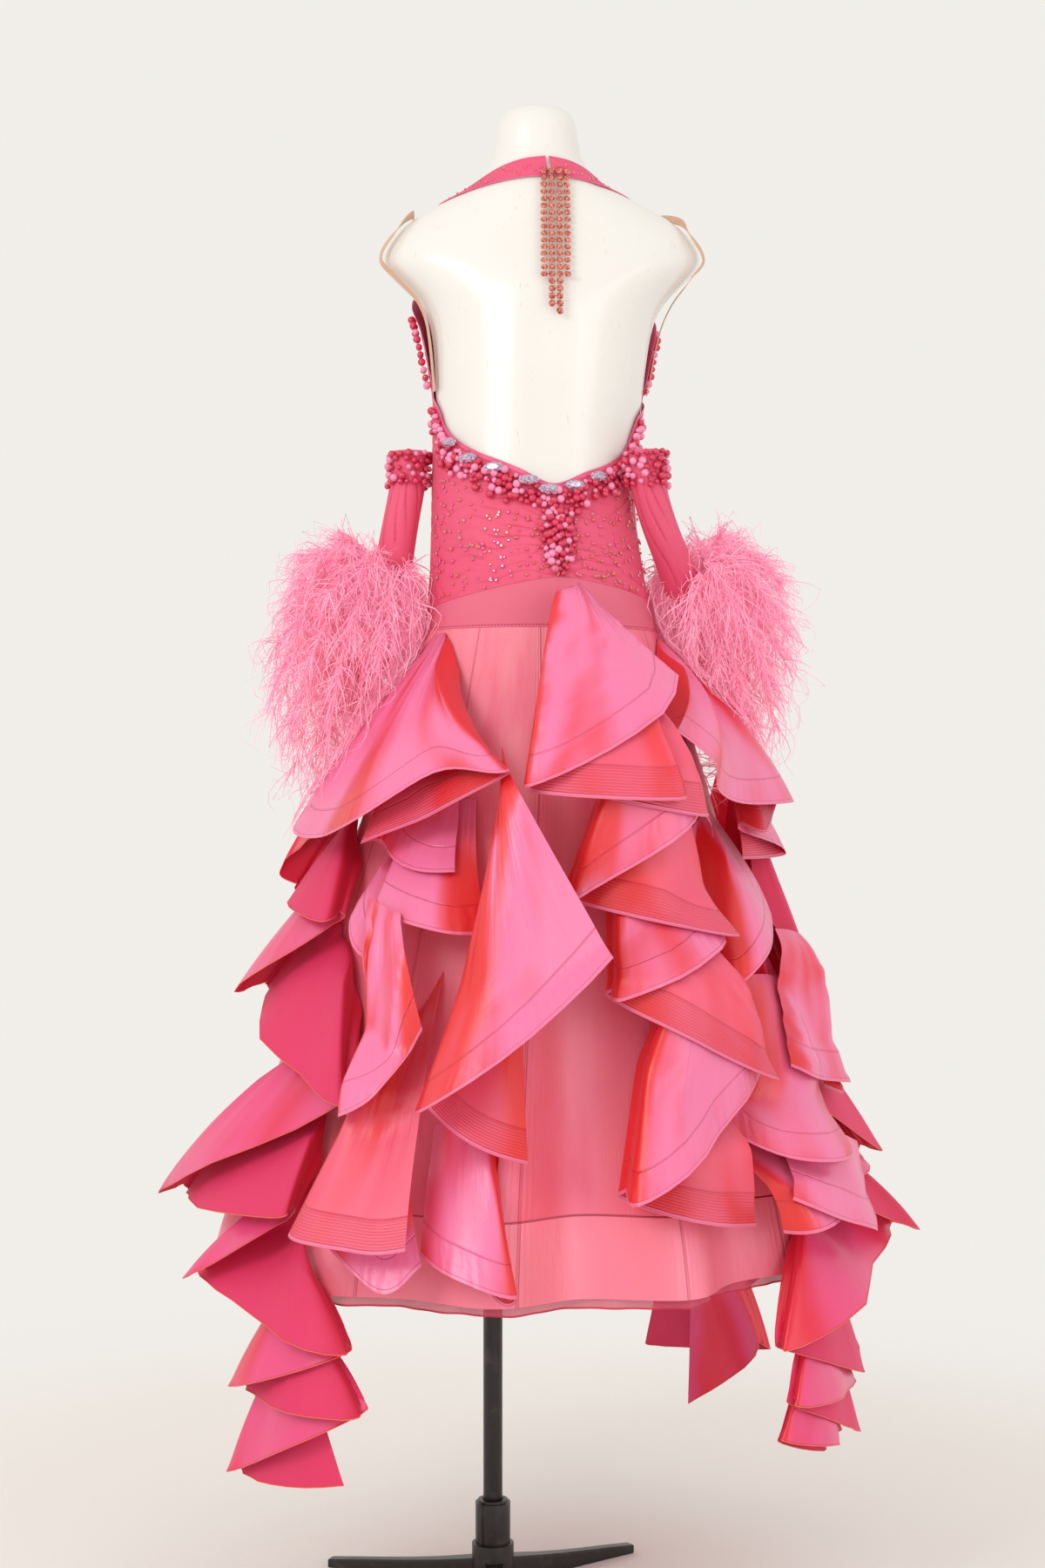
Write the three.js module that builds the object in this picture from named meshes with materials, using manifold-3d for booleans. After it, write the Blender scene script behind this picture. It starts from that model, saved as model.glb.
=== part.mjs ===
// A backless ballroom gown on its limbless dress form and stand.
// Millimetres, +Z up. The origin is the middle of the stand's foot, on the floor.
// The back of the gown faces -Y. Every cloth is a thin wall that is open where the garment is open.
//
// Places on the figure are read as turn, height and out: the turn about the upright axis in degrees,
// 0 at -Y and growing to the right seen from behind; the height over the floor; and how far a point
// stands out from the close-fitting gown.

import * as THREE from 'three';
import { mergeVertices } from 'three/addons/utils/BufferGeometryUtils.js';
import Module from 'manifold-3d';

const wasm = await Module();
wasm.setup();

// ---- driving dimensions ----

const CLOTH = 1.5;              // bodice, yoke and skirt walls
const FLOUNCE_CLOTH = 1.2;
const SEAM_GAP = 0.3;           // between pieces sewn edge to edge
const EASE = 2.5;               // from the dress form to the middle of the gown's cloth
const SEWN_ON = CLOTH + SEAM_GAP;   // height of a cloth's middle over the cloth it is sewn to
const CENTRE_BACK = 11;         // the figure stands turned on its pole
const SIDE_SEAM = 90;           // from the centre back to each side seam
const SIDE_GAP = 0.12;          // half the side seam's gap, in degrees
const SKIRT_SEAM = 1093;        // where the skirt hangs from the yoke
const YOKE_SIDE = 1116;         // the yoke's top at the side seams and in front
const HEM = 392;                // skirt hem over the floor
const FORM_BASE = 965;          // underside of the dress form
const POLE_RADIUS = 11;
const COLLAR_RADIUS = 20;
const COLLAR_TOP = 97;
const FOOT_TOP = 50;
const LEG_REACH = 205;

const COLOURS = {
  form: ['#f4f1eb', 0.25], stand: ['#27221f', 0.45], mesh: ['#ec6a84', 0.75], yoke: ['#f28ba3', 0.7],
  skirt: ['#f28494', 0.55], organza: ['#f07f98', 0.6], satin: ['#f196b7', 0.35], float: ['#e74f6e', 0.6],
  feather: ['#ee90af', 0.8], pearl: ['#d8284f', 0.25], crystal: ['#c77969', 0.2], elastic: ['#f5e5d2', 0.8],
};

// ---- tables and curves ----

// a table is written as text: a line of column names, then a line of numbers for each section or fold
function table(text) {
  const [head, ...lines] = text.trim().split('\n').map((line) => line.trim().split(/\s+/));
  return lines.map((line) => Object.fromEntries(head.map((name, i) => [name, Number(line[i])])));
}

// reads one column of a table at a value of another column, on a smooth curve through the rows
function read(rows, by, at, column) {
  const up = rows[0][by] < rows[rows.length - 1][by] ? 1 : -1;
  let i = 0;
  while (i < rows.length - 2 && (at - rows[i + 1][by]) * up > 0) i++;
  const slope = (k) => {
    const a = rows[Math.max(k - 1, 0)];
    const b = rows[Math.min(k + 1, rows.length - 1)];
    return (b[column] - a[column]) / (b[by] - a[by]);
  };
  const [a, b] = [rows[i], rows[i + 1]];
  const step = b[by] - a[by];
  const t = THREE.MathUtils.clamp((at - a[by]) / step, 0, 1);
  const [t2, t3] = [t * t, t * t * t];
  return a[column] * (2 * t3 - 3 * t2 + 1) + b[column] * (3 * t2 - 2 * t3)
    + step * (slope(i) * (t3 - 2 * t2 + t) + slope(i + 1) * (t3 - t2));
}

const { lerp, degToRad, clamp } = THREE.MathUtils;
const spread = (count, from, to) => Array.from({ length: count + 1 }, (_, i) => lerp(from, to, i / count));

// ---- the figure ----

// half sections of the dress form: half_width to each side, back towards -Y and front towards +Y
const FORM_SECTIONS = table(`
  height centre half_width back front
    960    54      150      128   120
   1040    54      147      126   112
   1100    54      130      112   100
   1160    50      120      104    96
   1240    46      114       92    98
   1310    49      116       92   108
   1370    53      120       95   122
   1440    56      125       98   126
   1470    56      138       97   118
   1495    55      166       90   104
   1515    55      189       80    92
   1542    55      180       70    80
   1570    55      142       62    66
   1590    54      100       57    58
   1605    52       73       54    54
   1625    51       55       51    50
   1645    50       48       48    48
   1675    50       47       47    47
   1689    50       38       38    38
   1693    50       26       26    26
`);

// the skirt's sections under its seam; the seam itself fits the form
const SKIRT_SECTIONS = table(`
  height centre half_width back front
    950    54      182      172   168
    800    46      226      221   218
    600    36      276      276   276
    375    28      335      335   335
      0    28      335      335   335
`);

function formSection(height) {
  const of = (column) => read(FORM_SECTIONS, 'height', height, column);
  return { height, centre: of('centre'), half_width: of('half_width'), back: of('back'), front: of('front') };
}

const seamSection = formSection(SKIRT_SEAM);
for (const column of ['half_width', 'back', 'front']) seamSection[column] += EASE;
const SKIRT_FORM = [seamSection, ...SKIRT_SECTIONS];

function gownSection(height) {
  if (height < SKIRT_SEAM) {
    const of = (column) => read(SKIRT_FORM, 'height', height, column);
    return { centre: of('centre'), half_width: of('half_width'), back: of('back'), front: of('front') };
  }
  const section = formSection(height);
  for (const column of ['half_width', 'back', 'front']) section[column] += EASE;
  return section;
}

function ringPoint(section, turn, height, out) {
  const angle = degToRad(turn);
  const depth = Math.cos(angle) > 0 ? section.back : section.front;
  return new THREE.Vector3(
    section.centre + (section.half_width + out) * Math.sin(angle), -(depth + out) * Math.cos(angle), height);
}

// the skirt's flutes: waves round the hem that die out towards the hip and away from the skirt
const FLUTES = table(`
  count depth phase
    11    17    40
     7     8   110
`);
const FLUTES_START = 1010;
const FLUTE_REACH = 60;

function flute(turn, height, out) {
  const down = clamp((FLUTES_START - height) / (FLUTES_START - HEM), 0, 1);
  const wave = FLUTES.reduce((sum, f) => sum + f.depth * Math.cos(degToRad(f.count * turn + f.phase)), 0);
  return wave * down * Math.exp(-Math.abs(out) / FLUTE_REACH);
}

const onGown = (turn, height, out) => ringPoint(
  gownSection(height), turn, height, out + flute(turn, height, out));

// ---- walls ----

function solid(points, faces) {
  const geometry = new THREE.BufferGeometry();
  geometry.setAttribute('position', new THREE.Float32BufferAttribute(points.flatMap((p) => p.toArray()), 3));
  geometry.setIndex(faces.flat());
  return geometry;
}

// a cloth is thickened along normals that lean towards each of its triangles at least this much
const LEAST_LEAN = 0.3;
const NORMAL_PASSES = 20;

// a cloth: rows of points from its top edge down, each row from left to right seen from outside.
// raise gives an extra height of the outer face at a point, for beads sewn on it.
// A cloth with folds is cut at them into panels, which are joined again where they meet.
function wall(rows, { thickness = CLOTH, closed = false, raise = () => 0, folds = [] } = {}) {
  const [down, across] = [rows.length, rows[0].length];
  const middle = rows.flat();
  const V = (i, j) => i * across + (j % across);
  const last = closed ? across : across - 1;
  const cells = rows.slice(1).map((_, i) => rows[i].slice(0, last).map((_, j) => {
    const [a, b, c, d] = [V(i, j), V(i, j + 1), V(i + 1, j), V(i + 1, j + 1)];
    const short = middle[a].distanceTo(middle[d]) <= middle[b].distanceTo(middle[c]);
    return short ? [[a, c, d], [a, d, b]] : [[a, c, b], [c, d, b]];
  }));
  const around = middle.map(() => []);
  for (const face of cells.flat(2)) {
    const normal = new THREE.Triangle(...face.map((k) => middle[k])).getNormal(new THREE.Vector3());
    for (const k of face) {
      const [p, q] = face.filter((other) => other !== k).map((other) => middle[other].clone().sub(middle[k]));
      around[k].push({ normal, share: p.angleTo(q) });
    }
  }
  const normals = around.map((faces) => {
    const sum = new THREE.Vector3();
    for (const { normal, share } of faces) sum.addScaledVector(normal, share);
    for (let pass = 0; pass < NORMAL_PASSES; pass++) {
      sum.normalize();
      for (const { normal } of faces) sum.addScaledVector(normal, Math.max(0, LEAST_LEAN - sum.dot(normal)));
    }
    return sum.normalize();
  });
  const offset = (k, by) => middle[k].clone().addScaledVector(normals[k], by);
  const outer = middle.map((_, k) => offset(k, thickness / 2 + raise(Math.floor(k / across), k % across)));
  const inner = middle.map((_, k) => offset(k, -thickness / 2));

  const I = (k) => k + middle.length;
  const rim = (k, l) => [[k, l, I(l)], [k, I(l), I(k)]];
  const panel = (from, to) => {
    const faces = cells.flatMap((row) => row.slice(from, to).flat());
    faces.push(...faces.map(([a, b, c]) => [I(a), I(c), I(b)]));
    for (let j = from; j < to; j++) {
      faces.push(...rim(V(0, j), V(0, j + 1)), ...rim(V(down - 1, j + 1), V(down - 1, j)));
    }
    for (let i = 0; i < down - 1 && !closed; i++) {
      faces.push(...rim(V(i + 1, from), V(i, from)));
      faces.push(...rim(V(i + 1, to), V(i, to)).map((face) => face.reverse()));
    }
    return solid([...outer, ...inner], faces);
  };
  const cuts = [0, ...folds, last];
  const panels = cuts.slice(1).map((to, k) => panel(cuts[k], to));
  return panels.length > 1 ? join(panels) : panels[0];
}

// manifold-3d joins closed geometries into one, without the specks that crossing faces leave
const JOIN_TOLERANCE = 0.05;
const LEAST_VOLUME = 1;
const MERGE_DISTANCE = 1e-3;

function join(geometries) {
  const solids = geometries.map((geometry) => {
    const bare = new THREE.BufferGeometry();
    bare.setAttribute('position', geometry.getAttribute('position'));
    if (geometry.index) bare.setIndex(geometry.index);
    const merged = mergeVertices(bare, MERGE_DISTANCE);
    const vertProperties = Float32Array.from(merged.getAttribute('position').array);
    const triVerts = Uint32Array.from(merged.index.array);
    return new wasm.Manifold(new wasm.Mesh({ numProp: 3, vertProperties, triVerts }));
  });
  const whole = solids.reduce((sum, next) => sum.add(next)).simplify(JOIN_TOLERANCE);
  const bodies = whole.decompose().filter((body) => body.volume() > LEAST_VOLUME);
  const { vertProperties, triVerts } = wasm.Manifold.compose(bodies).getMesh();
  const geometry = new THREE.BufferGeometry();
  geometry.setAttribute('position', new THREE.Float32BufferAttribute(vertProperties, 3));
  geometry.setIndex(Array.from(triVerts));
  return geometry;
}

// ---- the scene ----

const gown = new THREE.Group();

function add(name, geometry, finish) {
  const [color, roughness] = COLOURS[finish];
  const material = new THREE.MeshStandardMaterial({ color, roughness, metalness: 0 });
  const mesh = new THREE.Mesh(geometry, material);
  mesh.name = name;
  gown.add(mesh);
}

// ---- dress form ----

const FORM_COLUMNS = 20;

function dressForm() {
  const heights = [FORM_BASE, ...FORM_SECTIONS.slice(1).map((row) => row.height)];
  const turns = spread(FORM_COLUMNS, 0, 360).slice(0, -1);
  const rings = heights.map((height) => turns.map((turn) => ringPoint(formSection(height), turn, height, 0)));
  const points = rings.flat();
  const at = (i, j) => i * FORM_COLUMNS + (j % FORM_COLUMNS);
  const faces = [];
  for (let i = 0; i < rings.length - 1; i++) {
    for (let j = 0; j < FORM_COLUMNS; j++) {
      faces.push([at(i, j), at(i, j + 1), at(i + 1, j + 1)], [at(i, j), at(i + 1, j + 1), at(i + 1, j)]);
    }
  }
  const cap = (height) => points.push(new THREE.Vector3(formSection(height).centre, 0, height)) - 1;
  const [base, top] = [cap(heights[0]), cap(heights[heights.length - 1])];
  for (let j = 0; j < FORM_COLUMNS; j++) {
    faces.push([base, at(0, j + 1), at(0, j)], [top, at(rings.length - 1, j), at(rings.length - 1, j + 1)]);
  }
  return solid(points, faces);
}

add('form_torso', dressForm(), 'form');

// ---- stand: a pole in a collar on a foot with three legs ----

const LEG_DIRECTIONS = [-86, 37, 160];
const LEG_ROOT = { width: 26, height: 36 };
const LEG_TIP = { width: 14, height: 10 };

function upright(radius, bottom, top) {
  const geometry = new THREE.CylinderGeometry(radius, radius, top - bottom, 16);
  return geometry.rotateX(Math.PI / 2).translate(0, 0, (top + bottom) / 2);
}

function leg(direction) {
  const side = (x, { width, height }) => [[-1, 0], [1, 0], [1, 1], [-1, 1]].map(
    ([y, z]) => new THREE.Vector3(x, (y * width) / 2, z * height));
  const faces = [[0, 5, 4], [0, 1, 5], [1, 6, 5], [1, 2, 6], [2, 7, 6], [2, 3, 7], [3, 4, 7], [3, 0, 4],
    [0, 2, 1], [0, 3, 2], [4, 6, 7], [4, 5, 6]];
  return solid([...side(0, LEG_ROOT), ...side(LEG_REACH, LEG_TIP)], faces).rotateZ(degToRad(direction));
}

add('stand_foot', join([upright(COLLAR_RADIUS + 4, 0, FOOT_TOP), ...LEG_DIRECTIONS.map(leg)]), 'stand');
add('stand_collar', upright(COLLAR_RADIUS, FOOT_TOP + SEAM_GAP, COLLAR_TOP), 'stand');
add('stand_pole', upright(POLE_RADIUS, COLLAR_TOP + SEAM_GAP, FORM_BASE - SEAM_GAP), 'stand');

// ---- bodice and yoke ----

const LEFT_SEAM = CENTRE_BACK - SIDE_SEAM;
const RIGHT_SEAM = CENTRE_BACK + SIDE_SEAM;
const BACK_COLUMNS = 24;
const BACK_LEVELS = 5;
const YOKE_FRONT_COLUMNS = 20;

// the deep back neckline, and the arch where the ruched mesh is sewn to the yoke
const NECKLINE = table(`
  turn height
  -79   1362
  -66   1342
  -60   1325
  -49   1308
  -34   1292
  -20   1281
   -7   1270
   11   1254
   30   1268
   48   1282
   60   1300
   66   1321
   72   1338
  101   1362
`);
const YOKE_ARCH = table(`
  turn height
  -79   1116
  -40   1130
  -11   1142
   12   1149
   33   1143
   66   1131
  101   1116
`);
const neckline = (turn) => read(NECKLINE, 'turn', turn, 'height');
const arch = (turn) => read(YOKE_ARCH, 'turn', turn, 'height');

function panel(turns, levels, top, bottom, out = 0) {
  return levels.map((v) => turns.map((turn) => onGown(turn, lerp(top(turn), bottom(turn), v), out)));
}

const backTurns = spread(BACK_COLUMNS, LEFT_SEAM + SIDE_GAP, RIGHT_SEAM - SIDE_GAP);
const frontTurns = spread(YOKE_FRONT_COLUMNS, RIGHT_SEAM + SIDE_GAP, LEFT_SEAM + 360 - SIDE_GAP);
const yokeFoot = () => SKIRT_SEAM + SEAM_GAP / 2;
const yokeTop = () => YOKE_SIDE - SEAM_GAP;

add('bodice_back', wall(panel(backTurns, spread(BACK_LEVELS, 0, 1), neckline, arch)), 'mesh');
add('yoke_back', wall(panel(backTurns, [0, 1], (turn) => arch(turn) - SEAM_GAP, yokeFoot)), 'yoke');
add('yoke_front', wall(panel(frontTurns, [0, 1], yokeTop, yokeFoot)), 'yoke');

// the front rises from the side seams past the armholes to the halter neck; from and to are its edges
const FRONT_ROWS = table(`
  height from  to  out
   1577  175  207   0
   1535  169  213   0
   1510  160  222   3
   1490  142  240   8
   1463  117  265  13
   1440  107  275  12
   1400  103  279   6
   1361  101  281   0
   1300  101  281   0
   1240  101  281   0
   1175  101  281   0
   1116  101  281   0
`);
const FRONT_COLUMNS = 14;

const frontRow = ({ height, from, to, out }) => spread(
  FRONT_COLUMNS, from + SIDE_GAP, to - SIDE_GAP).map((turn) => onGown(turn, height, out));
add('bodice_front', wall(FRONT_ROWS.map(frontRow)), 'mesh');

// ---- neck band, closed at the centre back, and the two elastic straps ----

const BAND_ROWS = table(`
  turn height half
     2  1616  11.5
    30  1613  11
    58  1606  10
    86  1595   8
   116  1588   7
   146  1585   7
   179  1585   7
`);

const BAND_COLUMNS = 14;
const BAND_OUT = 1;
const BAND_ENDS = [2, 179];

for (const [side, sign] of [['left', -1], ['right', 1]]) {
  const rows = [1, -1].map((edge) => {
    const of = (column) => (turn) => read(BAND_ROWS, 'turn', turn, column);
    const row = spread(BAND_COLUMNS, ...BAND_ENDS).map((turn) => onGown(
      CENTRE_BACK + sign * turn, of('height')(turn) + edge * of('half')(turn), BAND_OUT));
    return sign < 0 ? row.reverse() : row;
  });
  add(`neck_band_${side}`, wall(rows), 'mesh');
}

const STRAP_THICKNESS = 1;
const STRAP_HALF = 4.5;
const STRAPS = {
  left: table(`
    turn height out
     228  1515   4
     238  1540   4
     252  1564   4
     275  1572   6
     294  1548   4
     291  1512   4
     287  1470   8
     287  1430   8
     287  1366   2
  `),
  right: table(`
    turn height out
     154  1515   4
     144  1540   4
     130  1564   4
     103  1572   5.6
      68  1548   4
      72  1512   4
      86  1470  10
      92  1430   8
      92  1366   2
  `),
};
const STRAP_STEPS = 2;

// a narrow strip along a path on the figure, lying flat on it
function strip(knots, steps, half, options) {
  const rows = knots.map((knot, i) => ({ ...knot, i }));
  const path = spread((rows.length - 1) * steps, 0, rows.length - 1).map((i) => {
    const of = (column) => read(rows, 'i', i, column);
    return { turn: of('turn'), height: of('height'), out: of('out') };
  });
  const points = path.map((p) => onGown(p.turn, p.height, p.out));
  return wall(points.map((point, k) => {
    const ahead = points[Math.min(k + 1, points.length - 1)].clone();
    const tangent = ahead.sub(points[Math.max(k - 1, 0)]).normalize();
    const outward = onGown(path[k].turn, path[k].height, path[k].out + 5).sub(point);
    const sideways = outward.cross(tangent).setLength(half);
    return [point.clone().sub(sideways), point.clone().add(sideways)];
  }), options);
}

for (const side of ['left', 'right']) {
  const strap = strip(STRAPS[side], STRAP_STEPS, STRAP_HALF, { thickness: STRAP_THICKNESS });
  add(`strap_${side}`, strap, 'elastic');
}

// ---- large pearls sewn close together, raised in the outer face of their backings ----

const PEARL = 5;
const BACKING = 1;
const ON_BODICE = CLOTH / 2 + SEAM_GAP + BACKING / 2;
const BETWEEN_PEARLS = 0.5;
const pearls = (i, j) => ((i + j) % 2 ? PEARL : BETWEEN_PEARLS);

function trim(turns, heights, out = ON_BODICE) {
  return wall(heights.map((height) => turns.map((turn) => onGown(turn, height(turn), out))),
    { thickness: BACKING, raise: pearls });
}

const below = (drop) => (turn) => neckline(turn) - drop;
const NECKLINE_TURNS = spread(32, -64, 66);
const NECKLINE_DROPS = [4, 13, 22, 31];
add('neckline_pearls', trim(NECKLINE_TURNS, NECKLINE_DROPS.map(below), ON_BODICE + SEAM_GAP), 'pearl');

const CLUSTER = { turn: 12, half: 7, top: 1222, bottom: 1156, across: 3, down: 7 };
add('centre_pearls', trim(
  spread(CLUSTER.across, CLUSTER.turn - CLUSTER.half, CLUSTER.turn + CLUSTER.half),
  spread(CLUSTER.down, CLUSTER.top, CLUSTER.bottom).map((height) => () => height)), 'pearl');

// down each armhole edge of the front
const ARMHOLE_PEARLS = table(`
  height turn out
   1456  266  17
   1440  274  16
   1418  277  13
   1396  279   9
   1376  280   4
`);
const ARMHOLE = { half: 7, inset: 5, sink: { left: 1.3, right: 2.2 } };
for (const [side, sign] of [['left', 1], ['right', -1]]) {
  const centreFront = CENTRE_BACK + 180;
  const path = ARMHOLE_PEARLS.map(({ height, turn, out }) => ({
    height,
    turn: centreFront + sign * (turn - centreFront - ARMHOLE.inset),
    out: out + ON_BODICE - ARMHOLE.sink[side],
  }));
  add(`armhole_pearls_${side}`, strip(path, 1, ARMHOLE.half, { thickness: BACKING, raise: pearls }), 'pearl');
}

// ---- skirt and its organza petticoat ----

const SKIRT_COLUMNS = 27;
const SKIRT_LEVELS = [0, 0.12, 0.26, 0.4, 0.55, 0.7, 0.85, 1];
const skirtTop = () => SKIRT_SEAM - SEAM_GAP / 2;
const skirtFoot = () => HEM;

for (const [name, from, to] of [['back', LEFT_SEAM, RIGHT_SEAM], ['front', RIGHT_SEAM, LEFT_SEAM + 360]]) {
  const turns = spread(SKIRT_COLUMNS, from + SIDE_GAP / 2, to - SIDE_GAP / 2);
  add(`skirt_${name}`, wall(panel(turns, SKIRT_LEVELS, skirtTop, skirtFoot)), 'skirt');
}

const PETTICOAT = { top: 455, foot: 381, waves: 22, depth: 4, inside: -9.9, thickness: 1 };
const frillRow = (height) => spread(PETTICOAT.waves * 3, 0, 360).slice(0, -1).map((turn) => onGown(
  turn, height, PETTICOAT.inside + PETTICOAT.depth * Math.cos(degToRad(PETTICOAT.waves * turn))));
const frill = [PETTICOAT.top, PETTICOAT.foot].map(frillRow);
add('petticoat', wall(frill, { closed: true, thickness: PETTICOAT.thickness }), 'organza');

// ---- flounces ----
// Each flounce is a spiral-cut strip sewn on along its inner curve, the seam, and free at its hem.
// The hem swings to and fro and turns back at each fold, so one strip falls in overlapping leaves.
// seam: where it is sewn on, from its start to its end. folds: at is the share of the seam that feeds
// this place of the hem; spread is how late the strip swings out to it; roll is the radius of the turn
// of the hem, and is negative where the next leaf lies outside. gap is the air left between it and
// the cloths under it, where it isn't LIFT_GAP; it may be under 0, because facets stand off a curve.

const FLOUNCES = {};

FLOUNCES.right_float_front = {
  seam: table(`
    turn height out
     104  960   40
     112  850    4.4
     122  700    2.6
     132  560    3.6
     138  430    8
     140  300    8
  `),
  folds: table(`
     at turn height out spread roll
      0  106   790   34   1     0
     18  134   660   46   1     8
     34  112   560   36   1     7
     52  150   440   44   1     8
     66  122   345   32   1     7
     80  153   210   34   1     8
     90  128   225   24   1     6
    100  142   138   20   1     0
  `),
};
FLOUNCES.left_float = {
  seam: table(`
    turn height out
     -88  990   34
     -74  900    8
     -64  800    2.6
     -55  690    2.6
     -49  570    6
     -44  450    8
     -40  330    8
  `),
  folds: table(`
     at turn height out spread roll
      0  -82   875   40   1     0
     10  -86   806   48   0.8   8
     22  -52   782   32   0.8   6
     34  -82   696   48   0.8   8
     46  -36   600   32   0.8   7
     60  -79   473   64   1     9
     70  -43   480   36   0.8   7
     79  -62   400   46   0.8   8
     87  -28   352   30   0.8   7
     92  -51   295   36   0.8   6
     95  -26   290   26   0.8   5
     98  -52   205   30   0.9   5
    100  -29   205   18   1     0
  `),
};
FLOUNCES.right_float = {
  seam: table(`
    turn height out
     98   955   44
     86   860    5
     80   750    3
     76   640    3
     72   530    6
     70   430    8
     68   320    8
  `),
  folds: table(`
     at turn height out spread roll
      0   74   790   36   1     0
     16   86   640   54   0.9   8
     28   62   606   36   0.8   7
     44   88   508   80   1     9
     54   66   490   50   0.8   8
     66   86   424   94   1.1  10
     78   50   336   32   0.8   7
     86   84   262   34   0.8   6
     91   53   272   26   0.8   5
     95   82   200   30   0.9   5
     98   53   230   18   0.9   4
    100   75   192   14   1     0
  `),
};
FLOUNCES.centre_hem_tier = {
  seam: table(`
    turn height out
     -19  566    3.6
     -11  574    3.6
      -4  562    3.6
  `),
  folds: table(`
     at turn height out spread roll
      0  -16   446   34   1     0
     40   -8   439   46   1     0
     80    0   411   40   1     6
    100   -5   422   28   1     0
  `),
};
FLOUNCES.right_hem_tier = {
  seam: table(`
    turn height out
     45   558    3.6
     51   548    3.6
     57   530    3.6
  `),
  folds: table(`
     at turn height out spread roll
      0   51   446   24   1     0
     45   54   462   36   1     0
    100   67   472   30   1     0
  `),
};
FLOUNCES.right_tier_lower = {
  gap: -0.3,
  seam: table(`
    turn height
     56   560
     66   548
     76   524
  `),
  folds: table(`
     at turn height out spread roll
      0   49   485   28   1     0
     50   59   468   40   1     0
    100   72   430   36   1     0
  `),
};
FLOUNCES.right_tier_middle = {
  gap: -0.2,
  seam: table(`
    turn height
     57   712
     66   710
     77   694
  `),
  folds: table(`
     at turn height out spread roll
      0   43   556   36   1.4   0
     50   50   539   52   1.2   0
    100   68   517   40   1     0
  `),
};
FLOUNCES.right_tier_upper = {
  gap: -1.4,
  seam: table(`
    turn height
     70   760
     76   756
     83   744
  `),
  folds: table(`
     at turn height out spread roll
      0   57   617   30   1     0
     40   63   614   42   1     0
     75   77   592   38   1     6
    100   72   586   22   1     0
  `),
};
FLOUNCES.left_hem_cascade = {
  seam: table(`
    turn height out
     -22  722    2.5
     -25  691    2.5
     -28  654    2.5
     -31  610    2.5
  `),
  folds: table(`
     at turn height out spread roll
      0  -16   458   90   1     0
     24  -24   468   84   1     0
     46  -35   470   66   0.9  12
     74  -21   424   48   1     0
    100  -15   438   36   1     0
  `),
};
FLOUNCES.right_swag = {
  seam: table(`
    turn height
     76   892
     64   888
     53   868
  `),
  folds: table(`
     at turn height out spread roll
      0   67   776   56   1     0
     35   50   747   66   1     0
     70   40   708   56   1.1   8
    100   56   714   36   1     0
  `),
};
FLOUNCES.side_cascade = {
  seam: table(`
    turn height
     52  1000
     58  1046
     68  1076
     78  1086
     86  1070
     89  1010
  `),
  folds: table(`
     at turn height out spread roll
      0   50   862   44   1     0
     14   38   905   58   1     0
     32   27   961   76   0.9 -13
     43   31   981   98   1     0
     54   37   956   98   1     0
     63   40   924   86   1     0
     72   52   906   84   1     0
     82   74   902   78   1     9
     89   60   876   56   1     6
     96   84   852   60   1     0
    100   58   838   46   1     0
  `),
};
FLOUNCES.left_gore = {
  seam: table(`
    turn height
     -48  852
     -34  840
  `),
  folds: table(`
     at turn height out spread roll
      0  -42   795   20   1     0
     30  -45   784   36   1    -6
    100  -31   731   46   1     0
  `),
};
FLOUNCES.left_tier = {
  seam: table(`
    turn height
     -43  896
     -33  906
     -20  903
  `),
  folds: table(`
     at turn height out spread roll
      0  -32   802   26   1     0
     26  -36   791   44   1    -7
     62  -20   783   62   1     0
    100   -9   765   52   1.2   0
  `),
};
FLOUNCES.left_swag = {
  gap: 0.3,
  seam: table(`
    turn height
     -38  800
     -27  786
  `),
  folds: table(`
     at turn height out spread roll
      0  -29   602   26   1     0
     34  -31   584   42   1    -6
     66  -24   618   58   1     0
    100  -19   669   50   1     0
  `),
};
FLOUNCES.right_cascade = {
  gap: 0.5,
  seam: table(`
    turn height
     17  1142
     14  1126
     20  1054
     26   939
     33   817
     38   690
  `),
  folds: table(`
     at turn height out spread roll
      0   36  1036   94   1.3   0
     13   -2   922   90   0.35 11
     20   27   913   72   0.8   6
     26    4   926   58   0.7   6
     34   34   896   42   0.8   7
     44    8   809   44   1.2   8
     55   42   770   46   1.1   9
     66   16   707   48   0.6  10
     79   48   618   52   1.2  10
     90   18   507   48   0.7  11
    100   45   457   44   1     0
  `),
};
FLOUNCES.centre_cascade = {
  gap: 1.8,
  seam: table(`
    turn height
     -9   958
     -7   915
     -4   850
  `),
  folds: table(`
     at turn height out spread roll
      0   14   744  100   1.15  0
     55  -16   599   84   1.5  13
    100    1   537   48   1.1   0
  `),
};
FLOUNCES.left_cascade = {
  seam: table(`
    turn height
     -56  1088
     -49  1086
     -41  1058
     -29   958
  `),
  folds: table(`
     at turn height out spread roll
      0  -84   880   72   1     0
      8  -64   868   66   1     0
     20  -41   889   86   0.8   0
     31  -22   942  102   0.8   0
     44   -6   934   88   1    11
     58  -22   904   62   1     0
     72  -41   860   52   0.9  10
    100  -18   828   36   1     0
  `),
};

const FLOUNCE_DOWN = 4;
const FLOAT_DOWN = 3;
const TURN_REACH = 0.35;         // the share of a leaf's hem that goes into its turn
const RISE = [0.7, 0.3];         // how a leaf swings out: at once by the first, later by the second
const TUCK_SPEED = 4;            // a turn is at its full radius a quarter of the way down
const FLOUNCE_ACROSS = 2;

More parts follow.
